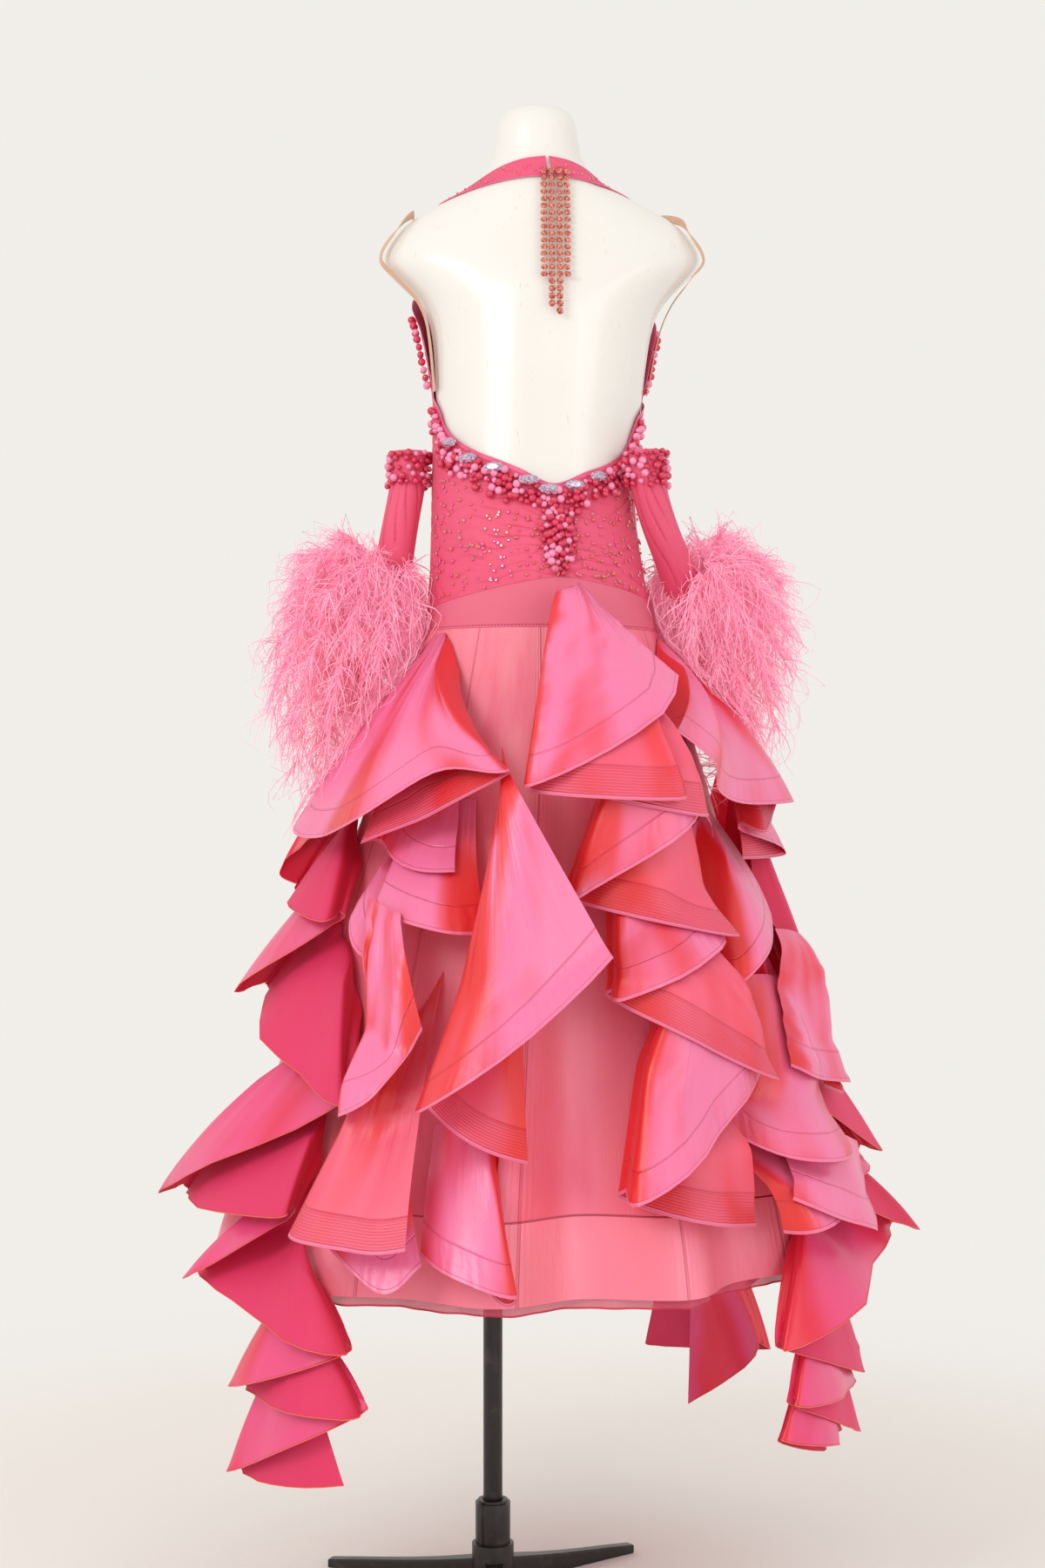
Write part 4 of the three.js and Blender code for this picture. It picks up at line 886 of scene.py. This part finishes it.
def lay_on(name):
    """Lays a flounce on those before it, its inmost leaf first, and gives its raised places."""
    rolls = table("at turn height out spread roll\n" + FLOUNCES[name][1])["roll"]
    ranks = np.concatenate([[0], np.cumsum(-np.sign(rolls[rolls != 0]))])
    lifts = np.zeros((len(ranks), *laid.shape))

    def raised(turn, height, out, leaf):
        low, high = np.floor(leaf).astype(int), np.ceil(leaf).astype(int)
        by = 0
        for (j, i), share in corners(turn, height):
            by = by + share * (lifts[low, j, i] * (1 - leaf % 1) + lifts[high, j, i] * (leaf % 1))
        return out + by

    def mark(turn, height, out):
        for cell, share in corners(turn, height):
            np.maximum.at(laid, cell, out)

    turn, height, out, leaf = (value.ravel() for value in flounce_places(name, *LAY_GRID))
    for k in np.argsort(ranks, kind="stable"):
        own = abs(leaf - k) < OWN_LEAF
        lifts[k] = lift_over(turn[own], height[own], out[own])
        mark(turn[own], height[own], raised(turn[own], height[own], out[own], leaf[own]))
    mark(turn, height, raised(turn, height, out, leaf))
    turn, height, out, leaf = flounce_places(name, *FLOUNCE_MESH)
    return turn, height, raised(turn, height, out, leaf)


# for each flounce: the side that is the face of the cloth, and its spiral cut: the width and length
# of the cloth that it is cut from and its own area, in m
CUTS = {
    "right_float_front": (0, 0.60, 0.60, 0.195), "left_float": (0, 0.65, 0.65, 0.235),
    "right_float": (0, 0.70, 0.65, 0.265), "centre_hem_tier": (0, 0.24, 0.18, 0.019),
    "right_hem_tier": (0, 0.17, 0.13, 0.0115), "right_tier_lower": (0, 0.19, 0.11, 0.018),
    "right_tier_middle": (0, 0.22, 0.21, 0.031), "right_tier_upper": (0, 0.22, 0.18, 0.022),
    "left_hem_cascade": (0, 0.36, 0.32, 0.044), "right_swag": (1, 0.32, 0.23, 0.026),
    "side_cascade": (0, 0.50, 0.42, 0.095), "left_gore": (0, 0.16, 0.14, 0.0088),
    "left_tier": (0, 0.24, 0.18, 0.0205), "left_swag": (0, 0.22, 0.23, 0.018),
    "right_cascade": (1, 0.85, 0.75, 0.295), "centre_cascade": (1, 0.45, 0.40, 0.068),
    "left_cascade": (0, 0.55, 0.45, 0.096),
}
BRAID = 0.036                   # width of the stiffened hem
BINDING = 0.0042


def shot_satin(name, face_side, pink, orange):
    """Satin with a pink warp and an orange weft: the pink shows on the flat, the orange where it turns. The
    orange where it turns is painted shade, laid on by how far the cloth turns sideways and in broad patches.
    """
    made, start, surface, cut, along, rise = fabric(name, 0.3, 0.3, Anisotropic=0.5, Specular_IOR_Level=0.7)
    under = (start.mark("side") - face_side).away()
    folds = cut.stretched(1, 0.45, 1).noise(8, 2)
    fibre = cut.stretched(20, 1500, 1).noise(1, 2)
    # Partly the real pink and orange of the weave, partly painted shade: the face is painted orange where
    # the cloth turns sideways and in broad patches.
    shot = (start.mark("flank") * 1.5 + folds * 2.6 - 1.22).step(0.1, 0.9)
    tone = shot.blend(pink, orange)
    tone = (under * 0.6).blend(tone, orange)
    in_band = rise.step(BRAID - 0.0004, BRAID + 0.0004, 1, 0)
    lines = (rise * (2 * math.pi / 0.0032)).sine().step(-0.2, 0.8)
    stitched = in_band * under * lines
    seam = (rise - BRAID).away().step(0.0003, 0.0016, 1, 0)
    edge = rise.step(BINDING - 0.0004, BINDING + 0.0004, 1, 0)
    tone = (stitched * 0.4).blend(tone, colour(214, 44, 66))
    tone = (seam * 0.25).blend(tone, colour(200, 30, 70))
    tone = (edge * 0.7).blend(tone, colour(242, 120, 160))
    puckers = (along * 420 + cut.noise(30) * 9).sine() * in_band * (1 - under)
    creases = cut.stretched(45, 2.5, 1).noise(1, 3) * rise.step(0.03, 0.16)
    rough = under * 0.12 + folds.step(0.3, 0.7, 0.26, 0.36)
    relief = folds * 8 + creases * 2.2 + fibre * 0.12 + puckers * 0.16
    relief = relief + stitched * 0.35 - seam * 0.6 + edge * 0.8
    dress(surface, start, tone, rough, relief, 0.0011)
    return made


satins = [shot_satin("shot_satin_%d" % k, k, colour(242, 118, 166), colour(232, 38, 42)) for k in (0, 1)]

# ---- The floats ----
# Long tails at each side of satin-backed crepe, cut in the same way: one face is matt and deep
# pink, the other is satin, and the leaves show them by turns. The edge is overlocked in orange
# over a nylon line, which makes it ripple.

floats, start, surface, cut, along, rise = fabric("float_crepe", 0.3, 0.4)
side = start.mark("side")
flank = start.mark("flank")
cloud = cut.stretched(1, 0.45, 1).noise(8, 2)
fine = cut.noise(500, 2)
# Painted shade: each face is painted a deeper red where the cloth turns sideways and in broad patches.
matt = (flank * 1.1 + cloud - 0.5).step(0.1, 0.9).blend(colour(224, 48, 100), colour(204, 18, 58))
satin = (flank * 1.4 + cloud * 2.2 - 1.15).step(0.1, 0.9)
satin = satin.blend(colour(235, 76, 130), colour(228, 36, 62))
overlock = rise.step(0.0012, 0.002, 1, 0)
tone = overlock.blend(side.blend(matt, satin), colour(236, 92, 84))
creases = cut.stretched(45, 2.5, 1).noise(1, 3) * rise.step(0.02, 0.16)
relief = cloud * 8 + creases * 2 + fine * 0.2 * (1 - side) + overlock * 0.9
dress(surface, start, tone, side * -0.36 + 0.66, relief, 0.0009)
LETTUCE = {"depth": 1.8, "length": 4.2}

for name, (face_side, width, length, area) in CUTS.items():
    is_float = "float" in name
    turn, height, out = lay_on(name)
    rows = on_gown(turn, height, out)
    if is_float:
        by_hem = np.clip(np.linspace(-7, 1, len(rows))[:, None], 0, 1) ** 2
        wave = LETTUCE["depth"] * np.sin(lengths(rows, 1)[-1] / LETTUCE["length"])
        rows = on_gown(turn, height, out + wave * by_hem)
    flounce = cloth(name + "_cloth", rows, FLOUNCE_THICK)
    keep(flounce, floats if is_float else satins[face_side], "float" if is_float else "satin", name)

# ---- The cuffs ----
# Loose sleeves of the pink mesh with an elastic at the wrist end, pinned by their tops to the sides
# of the bodice. The top is thick with pearls and the mesh below is drawn into small gathers.

CUFFS = {
    "left": table("""height turn out radius
     1300 -86 26.5 20, 1290 -86 26.5 20, 1280 -86 26.5 20, 1270 -86 26.5 20,
     1200 -88 38 21, 1100 -90 52 24, 1000 -91 62 27
    """),
    "right": table("""height turn out radius
     1293 57 31.6 20, 1283 57 31.6 20, 1273 58 31.6 20, 1263 59 31.6 20,
     1200 72 35 21, 1110 95 48 24, 1000 107 66 27
    """),
}
CUFF_LOW = 1000
CUFF_FOLDS = 12
CUFF_GATHER = 1.6


def cuff_middle(side, height):
    """The middle of a cuff at a height, and its radius there."""
    turn, out, radius = read(CUFFS[side], "height", height, "turn", "out", "radius")
    return on_gown(turn, height, out), radius


def round_cuff(side, angle, height, wider=0.0):
    """Places round a cuff, wider than its middle by so much."""
    middle, radius = cuff_middle(side, height)
    reach = radius + wider
    return middle + np.stack([reach * np.sin(angle), -reach * np.cos(angle), 0 * angle], axis=-1)


for side in ("left", "right"):
    top = CUFFS[side]["height"][0]
    angle, height = np.meshgrid(np.linspace(0, 2 * np.pi, 90), np.linspace(top, CUFF_LOW, 160))
    share = (top - height) / (top - CUFF_LOW)
    gather = ruched(height / 3, np.degrees(angle) / 360, np.degrees(angle), CUFF_FOLDS, CUFF_GATHER, 31)
    gather *= np.sin(np.clip(share * 40, 0, np.pi / 2))
    gather[:, -1] = gather[:, 0]
    cuff = cloth("cuff_mesh_" + side, round_cuff(side, angle, height, gather), MESH_THICK, closed=True,
                 crease=gather / CUFF_GATHER, edge=top - height)
    keep(cuff, power_mesh, "mesh", "cuff_" + side)

# ---- The feathers ----
# Ostrich feathers, knotted in locks to a narrow band round each cuff. Each has a thin quill with
# long soft barbs that fall away from it on both sides and hang down at the outside of the puff.

PUFFS = {
    "left": {"middle": (-168, -12, 1048), "size": (92, 84, 168)},
    "right": {"middle": (262, 34, 1075), "size": (88, 84, 155)},
}
LOCKS = 58
BARBS = 150                     # to a lock
BARB_STEPS = 5
QUILL_STEPS = 13
BARB_WIDTH = 1.5
QUILL_WIDTH = 1.6
QUILL_TINT = 0.2
BAND_MIDDLE = 1165              # of the band that the locks are knotted to
BAND_HALF = 9
SPRING = 34                     # mm, that a quill springs out of the band, before it hangs
SKIN = 3                        # mm, that feathers keep clear of the cloth
TRIES = 12                      # at finding a place, each of which comes nearer to it
GOLDEN = math.pi * (3 - math.sqrt(5))   # the turn that spreads places evenly
GLOW = 0.10                     # painted glow: a little light that the feathers give off, which lightens the shade among their barbs

# The plume's emission is a painted glow that lightens the shade in the puff; the feathers are no lamp.
plume, start, surface = material("ostrich_pink", Roughness=0.62, Sheen_Weight=0.5, Sheen_Roughness=0.4,
                                 Sheen_Tint=PINK_SHEEN, Emission_Color=colour(243, 165, 188),
                                 Emission_Strength=GLOW)
tint = start.mark("tint")
depth = start.mark("depth")
pale = start.place().noise(30, 3).step(0.4, 0.7, 0, 0.5)
tone = tint.blend(colour(255, 184, 212), colour(254, 158, 196))
# Painted shade: barbs deep inside each puff are painted a darker pink than those at its outside.
tone = depth.step(0.2, 0.95).blend(colour(248, 132, 158), tone)
dress(surface, start, pale.blend(tone, colour(255, 208, 228)))


def place_of(points):
    """The turn and the out of places in mm."""
    turn = np.zeros(len(points))
    out = np.zeros(len(points))
    z = points[:, 2]
    for _ in range(TRIES):
        depth = np.where(np.cos(np.radians(turn)) > 0, section(z, "back"), section(z, "front"))
        across = (points[:, 0] - section(z, "centre")) / (section(z, "half_width") + out)
        deep = -points[:, 1] / (depth + out)
        turn = np.degrees(np.arctan2(across, deep))
        out = out + (np.hypot(across, deep) - 1) * (depth + out)
    return turn, out


def clear_of_cloth(paths):
    """Moves places out until they clear every cloth that is laid there."""
    points = paths.reshape(-1, 3)
    turn, out = place_of(points)
    top = np.full(len(points), 2.0 * SKIN)
    for cell, share in corners(turn, points[:, 2]):
        top = np.maximum(top, laid[cell] + SKIN)
    moved = on_gown(turn, points[:, 2], np.maximum(out, top))
    return np.where((out < top)[:, None], moved, points).reshape(paths.shape)


def ribbons(paths, widths, twist):
    """Fine ribbons along paths (one row of places each), as points and faces."""
    side = unit(np.cross(unit(np.gradient(paths, axis=1)), twist[:, None, :]))
    half = widths[:, :, None] / 2
    points = np.stack([paths - side * half, paths + side * half], axis=2)
    count, steps = paths.shape[:2]
    spot = np.arange(count * steps * 2).reshape(count, steps, 2)
    faces = np.stack([spot[:, :-1, 0], spot[:, 1:, 0], spot[:, 1:, 1], spot[:, :-1, 1]], axis=-1)
    return points.reshape(-1, 3), faces.reshape(-1, 4)


for side, puff in PUFFS.items():
    middle, size = np.array(puff["middle"]), np.array(puff["size"])
    ways = np.random.default_rng(17 if side == "left" else 18)
    k = np.arange(LOCKS)
    level = 0.92 - 1.9 * (k + 0.5) / LOCKS
    ring = np.sqrt(1 - level ** 2)
    end = np.stack([ring * np.sin(k * GOLDEN), -ring * np.cos(k * GOLDEN), level], axis=-1)
    end = end * size * ways.uniform(0.86, 1.0, (LOCKS, 1)) + middle
    height = BAND_MIDDLE + level * BAND_HALF
    heart, radius = cuff_middle(side, height)
    away = unit((end - heart) * np.array([1, 1, 0]))
    root = heart + away * (radius[:, None] + 1)
    knee = (root + away * SPRING) * 0.68 + end * 0.32
    knee[:, 2] = root[:, 2] * 0.7 + end[:, 2] * 0.3 + 16
    t = np.linspace(0, 1, QUILL_STEPS + 1)[None, :, None]
    quill = ((1 - t) ** 2 * root[:, None] + 2 * t * (1 - t) * knee[:, None] + t ** 2 * end[:, None])
    lock = np.repeat(np.arange(LOCKS), BARBS)
    count = len(lock)
    place_on = ways.uniform(0.12, 1, count) ** 0.8
    step = place_on * QUILL_STEPS
    i = np.minimum(step.astype(int), QUILL_STEPS - 1)
    ahead = quill[lock, i + 1] - quill[lock, i]
    base = quill[lock, i] + ahead * (step % 1)[:, None]
    ahead = unit(ahead)
    beside = ways.normal(0, 1, (count, 3))
    beside = unit(beside - ahead * np.sum(beside * ahead, axis=-1, keepdims=True))
    way = ahead * ways.uniform(0.5, 1.0, (count, 1)) + beside * ways.uniform(0.25, 0.85, (count, 1))
    length = ways.uniform(30, 66, count) * (1.1 - 0.3 * place_on)
    s = np.linspace(0, 1, BARB_STEPS + 1)[None, :, None]
    fall = np.array([0, 0, -1.0]) * ways.uniform(0.3, 0.75, (count, 1))
    curl = ways.normal(0, 0.42, (count, 3))
    paths = base[:, None] + length[:, None, None] * (
        way[:, None] * s * (1 - 0.25 * s) + fall[:, None] * s ** 2 + curl[:, None] * np.sin(3.4 * s) * s)
    widths = BARB_WIDTH * (1 - 0.8 * s[..., 0]) * ways.uniform(0.6, 1.2, (count, 1))
    points, faces = ribbons(clear_of_cloth(paths), widths, ways.normal(0, 1, (count, 3)))
    stems, stem_faces = ribbons(clear_of_cloth(quill), np.full(quill.shape[:2], QUILL_WIDTH), away)
    tints = np.repeat(ways.uniform(0, 1, count), (BARB_STEPS + 1) * 2)
    tints = np.concatenate([tints, np.full(len(stems), QUILL_TINT)])
    faces = np.concatenate([faces, stem_faces + len(points)])
    points = np.concatenate([points, stems])
    # How far out in the puff each point lies, which the plume reads for its painted shade.
    deep = np.linalg.norm((points - middle) / size, axis=-1)
    feathers = built("feather_puff_" + side, points, faces.tolist(), tint=tints, depth=deep)
    keep(feathers, plume, "feather", "feathers_" + side)

# ---- The pearls ----
# Round pearls in deep red and in pink, sewn close together on the neckline, the centre back, the
# armholes and the tops of the cuffs. Each is pierced and held by a thread through the cloth.

pearl_glaze, start, surface = material("pearl_glaze", Coat_Weight=0.8, Coat_Roughness=0.08)
cloud = start.place().noise(300, 2)
red = cloud.blend(colour(196, 20, 62), colour(222, 44, 86))
pink = cloud.blend(colour(238, 120, 168), colour(248, 162, 196))
dress(surface, start, start.mark("tint").step(0.6, 0.66).blend(red, pink), cloud.step(0.3, 0.7, 0.16, 0.26))


def strew(name, pattern, spots, sizes, tints):
    """Copies of a small piece at places on the cloth, that face out, with sizes in mm and tints."""
    shape = np.array([tuple(point.co) for point in pattern.data.vertices])
    places, facing = spots
    facing = unit(facing)
    right = unit(np.cross(np.array([0, 0, 1.0]), facing))
    upward = np.cross(facing, right)
    if np.ndim(sizes) < 2:
        sizes = np.repeat(np.array(sizes, dtype=float)[:, None], 3, axis=1)
    points = places[:, None] + sum(
        shape[None, :, k, None] * sizes[:, None, k, None] * axis[:, None]
        for k, axis in enumerate((right, upward, facing)))
    every = [[k * len(shape) + v for v in face.vertices] for k in range(len(places))
             for face in pattern.data.polygons]
    obj = built(name, points.reshape(-1, 3), every, tint=np.repeat(tints, len(shape)))
    if not pattern.data.polygons[0].use_smooth:
        obj.data.shade_flat()
    return obj


def on_cloth(turn, height, out):
    """Places on the figure and the directions that they face."""
    here = on_gown(turn, height, out)
    right = on_gown(turn + 1, height, out) - here
    below = on_gown(turn, height - 2, out) - here
    return here, np.cross(below, right)


SEWN_AT = 1.2                   # mm, from the middle of the mesh to where a pearl begins

select_none()
bpy.ops.mesh.primitive_uv_sphere_add(segments=10, ring_count=6, radius=1)
pearl = bpy.context.object
bpy.ops.object.shade_smooth()

# along the neckline: how many to a row, the turns they run between, and the share sewn on in each row
IN_ROW = 52
FIRST_TURN, LAST_TURN = -74, 76
SEWN_IN_ROW = np.array([0.96, 0.92, 0.85, 0.62, 0.34])
ROW_PITCH = 7.6
ways = np.random.default_rng(5)
column, row = np.meshgrid(np.arange(IN_ROW), np.arange(len(SEWN_IN_ROW)))
turn = FIRST_TURN + column * (LAST_TURN - FIRST_TURN) / (IN_ROW - 1)
turn = (turn + ways.normal(0, 0.5, column.shape)).ravel()
drop = (10 + row * ROW_PITCH + ways.normal(0, 1.6, row.shape)).ravel()
kept = ways.uniform(0, 1, len(turn)) < SEWN_IN_ROW[row.ravel()]
turn, drop = turn[kept], drop[kept]
size = ways.choice([4.8, 3.7, 3.0], len(turn), p=[0.45, 0.35, 0.2])
height = read(NECKLINE, "turn", turn, "height") - drop
spots = on_cloth(turn, height, SEWN_AT + size * 0.8)
pearls = strew("neckline_pearl_rows", pearl, spots, size, ways.uniform(0, 1, len(turn)))
keep(pearls, pearl_glaze, "pearl", "neckline_pearls")

count = 54
k = np.arange(count)
reach = np.sqrt((k + 0.5) / count)
turn = 12 + 9.2 * reach * np.sin(k * GOLDEN) + ways.normal(0, 0.4, count)
height = 1190 + 39 * reach * np.cos(k * GOLDEN)
size = ways.choice([4.8, 4.1, 3.4], count)
spots = on_cloth(turn, height, SEWN_AT + size * 0.8)
pearls = strew("centre_back_pearls", pearl, spots, size, ways.uniform(0, 1, count))
keep(pearls, pearl_glaze, "pearl", "centre_pearls")

ARMHOLE_PEARLS = table("""height turn out
    1376 280 4, 1396 279 9, 1418 277 13, 1440 274 16, 1456 266 17
""")
ROUND_CUFF = 14                 # pearls in each row round a cuff
CUFF_ROWS = 5
for side, sign in (("left", 1), ("right", -1)):
    height = np.repeat(np.linspace(ARMHOLE_PEARLS["height"][0], ARMHOLE_PEARLS["height"][-1], 10), 2)
    turn, out = read(ARMHOLE_PEARLS, "height", height, "turn", "out")
    turn = CENTRE_BACK + 180 + sign * (turn - CENTRE_BACK - 185 + np.tile([-1.8, 1.8], 10))
    size = ways.choice([4.6, 3.8], len(turn))
    spots = on_cloth(turn, height, out + size * 0.5)
    pearls = strew("armhole_pearl_rows_" + side, pearl, spots, size, ways.uniform(0, 1, len(turn)))
    keep(pearls, pearl_glaze, "pearl", "armhole_pearls_" + side)

    column, row = np.meshgrid(np.arange(ROUND_CUFF), np.arange(CUFF_ROWS))
    count = ROUND_CUFF * CUFF_ROWS
    angle = (column + 0.5 * (row % 2)) / ROUND_CUFF * 2 * math.pi
    angle = angle.ravel() + ways.normal(0, 0.06, count)
    height = (CUFFS[side]["height"][0] - 4 - row * 8.2).ravel() + ways.normal(0, 1.6, count)
    size = ways.choice([4.6, 3.7, 3.2], count)
    here = round_cuff(side, angle, height, 0.8 + size * 0.7)
    spots = (here, here - round_cuff(side, angle, height, -5))
    pearls = strew("cuff_pearls_" + side, pearl, spots, size, ways.uniform(0, 1, count))
    keep(pearls, pearl_glaze, "pearl")

# ---- The crystals ----
# Cut-glass stones: long clear navettes set along the neckline, small round ones strewn over the
# mesh and neck band, and four chains of coppery stones that hang down the bare back.

crystal_glass, start, surface = material("cut_glass", IOR=1.7, Coat_Weight=1.0, Coat_Roughness=0.02)
tint = start.mark("tint")
glint = start.place().noise(700, 1)
clear = glint.step(0.35, 0.6).blend(colour(226, 206, 226), colour(150, 120, 150))
warm = tint.step(0.74, 0.76).blend(colour(226, 116, 88), colour(238, 96, 150))
dress(surface, start, tint.step(0.3, 0.7).blend(clear, warm), glint * 0.15 + 0.08,
      metal=glint.step(0.3, 0.7, 0.2, 0.6))

select_none()
bpy.ops.mesh.primitive_cone_add(vertices=8, radius1=1, radius2=0.55, depth=0.55, location=(0, 0, 0.5))
stone = bpy.context.object
bpy.ops.object.transform_apply()
pick(stone, lambda face: face.normal.z < -0.9)
bpy.ops.mesh.extrude_region_move(TRANSFORM_OT_translate={"value": (0, 0, -0.3)})
bpy.ops.transform.resize(value=(0.7, 0.7, 1))
bpy.ops.object.mode_set(mode="OBJECT")

NAVETTES = table("""x height lean
    -48 1303 -40, -27 1284 -30, 2 1272 -20, 41 1257 -22, 63 1247 0, 92 1252 18,
    119 1263 28
""")


def behind(x, height, out):
    """A place on the back of the figure straight behind a given x in mm, and the way it faces."""
    lean = np.clip((x - section(height, "centre")) / (section(height, "half_width") + out), -1, 1)
    return on_cloth(np.degrees(np.arcsin(lean)), height, out)


spots = behind(NAVETTES["x"], NAVETTES["height"], 7.5)
navettes = strew("navette_crystals", stone, spots, np.tile([12, 5.6, 5.0], (7, 1)), np.zeros(7))
keep(navettes, crystal_glass, "crystal")

LOOSE_STONES = 330              # over the mesh
BAND_STONES = 26                # on each half of the neck band
turn = ways.uniform(-72, 94, LOOSE_STONES)
share = ways.uniform(0.2, 0.97, LOOSE_STONES) ** (0.6 + 0.4 * (abs(turn - 12) > 40))
top, low = (read(rows, "turn", turn, "height") for rows in (NECKLINE, YOKE_ARCH))
spots = on_cloth(turn, top * (1 - share) + low * share, 1.6)
size = ways.uniform(1.3, 2.5, LOOSE_STONES)
scatter = strew("scattered_crystals", stone, spots, size, ways.uniform(0.5, 1, LOOSE_STONES))
keep(scatter, crystal_glass, "crystal")

for side, sign in (("left", -1), ("right", 1)):
    turn = np.linspace(5, 120, BAND_STONES)
    height, half = read(BAND_ROWS, "turn", turn, "height", "half")
    spots = on_cloth(CENTRE_BACK + sign * turn, height + ways.uniform(-0.7, 0.7, BAND_STONES) * half, 1.9)
    size = ways.uniform(1.2, 2.0, BAND_STONES)
    stones = strew("band_crystals_" + side, stone, spots, size, ways.uniform(0.5, 1, BAND_STONES))
    keep(stones, crystal_glass, "crystal")

copper, start, surface = material("copper_crystal", IOR=1.7, Coat_Weight=1.0, Coat_Roughness=0.03)
glint = start.place().noise(500, 1)
dress(surface, start, glint.step(0.35, 0.65).blend(colour(240, 150, 128), colour(176, 72, 58)),
      glint * 0.15 + 0.06, metal=glint.step(0.3, 0.7, 0.35, 0.8))

CHAIN_TOP = 1609
CHAIN_PITCH = 8.3
TASSELS = {"left": ((58, 1476), (66.5, 1436)), "right": ((84, 1472), (75.5, 1432))}
for side, chains in TASSELS.items():
    links = np.array([(x, CHAIN_TOP - CHAIN_PITCH * k) for x, low in chains
                      for k in range(int((CHAIN_TOP - low) / CHAIN_PITCH))])
    count = len(links)
    spots = behind(links[:, 0] + ways.normal(0, 0.25, count), links[:, 1], 4.5)
    stones = strew("crystal_chains_" + side, stone, spots, np.full(count, 4.1), np.zeros(count))
    keep(stones, copper, "crystal", "tassel_" + side)

for pattern in (pearl, stone):
    bpy.data.objects.remove(pattern)

# ---- The studio ----
# A round of pale paper on the floor that fades into an even pale surround, a wide soft light from
# the upper left and a weaker one from the right, and the camera level with the skirt.

CAMERA = {"place": (0.034, -2.8, 0.92), "lens": 56, "film": 36}
PAPER = {"whole": 0.7, "gone": 1.7, "height": -0.0002}

paper, start, surface = material("pale_paper", Roughness=0.9)
place = start.place()
far = place.stretched(1, 1, 0).far()
tone = place.noise(1.3, 4).blend(colour(245, 243, 239), colour(240, 237, 232))
dress(surface, start, tone, height=place.noise(160, 3), depth=0.0004,
      alpha=far.step(PAPER["whole"], PAPER["gone"], 1, 0))

select_none()
bpy.ops.mesh.primitive_circle_add(
    vertices=96, radius=PAPER["gone"], fill_type="NGON", location=(0, 0, PAPER["height"]))
paper_round = bpy.context.object
paper_round.name = "paper_round"
bpy.ops.object.transform_apply()
paper_round.data.materials.append(paper)


def soft_light(name, place, target, size, power, tone):
    lamp = bpy.data.lights.new(name, "AREA")
    lamp.shape = "RECTANGLE"
    lamp.size, lamp.size_y = size
    lamp.energy = power
    lamp.color = tone
    obj = bpy.data.objects.new(name, lamp)
    obj.location = place
    way = obj.location.copy()
    for k in range(3):
        way[k] = target[k] - place[k]
    obj.rotation_euler = way.to_track_quat("-Z", "Y").to_euler()
    bpy.context.scene.collection.objects.link(obj)


soft_light("key", (-1.6, -2.3, 2.2), (0.05, 0, 0.95), (1.2, 1.2), 25, (1, 0.985, 0.965))
soft_light("fill", (1.9, -2.4, 1.2), (0.05, 0, 0.9), (1.6, 1.8), 13, (1, 0.97, 0.96))

world = bpy.data.worlds.new("studio")
world.use_nodes = True
world.node_tree.nodes["Background"].inputs["Color"].default_value = (1, 0.975, 0.935, 1)
world.node_tree.nodes["Background"].inputs["Strength"].default_value = 0.88
bpy.context.scene.world = world
bpy.context.scene.view_settings.view_transform = "Standard"

lens = bpy.data.cameras.new("camera")
lens.lens = CAMERA["lens"]
lens.sensor_fit = "VERTICAL"
lens.sensor_height = CAMERA["film"]
camera = bpy.data.objects.new("camera", lens)
camera.location = CAMERA["place"]
camera.rotation_euler = (math.radians(90), 0, 0)
bpy.context.scene.collection.objects.link(camera)
bpy.context.scene.camera = camera
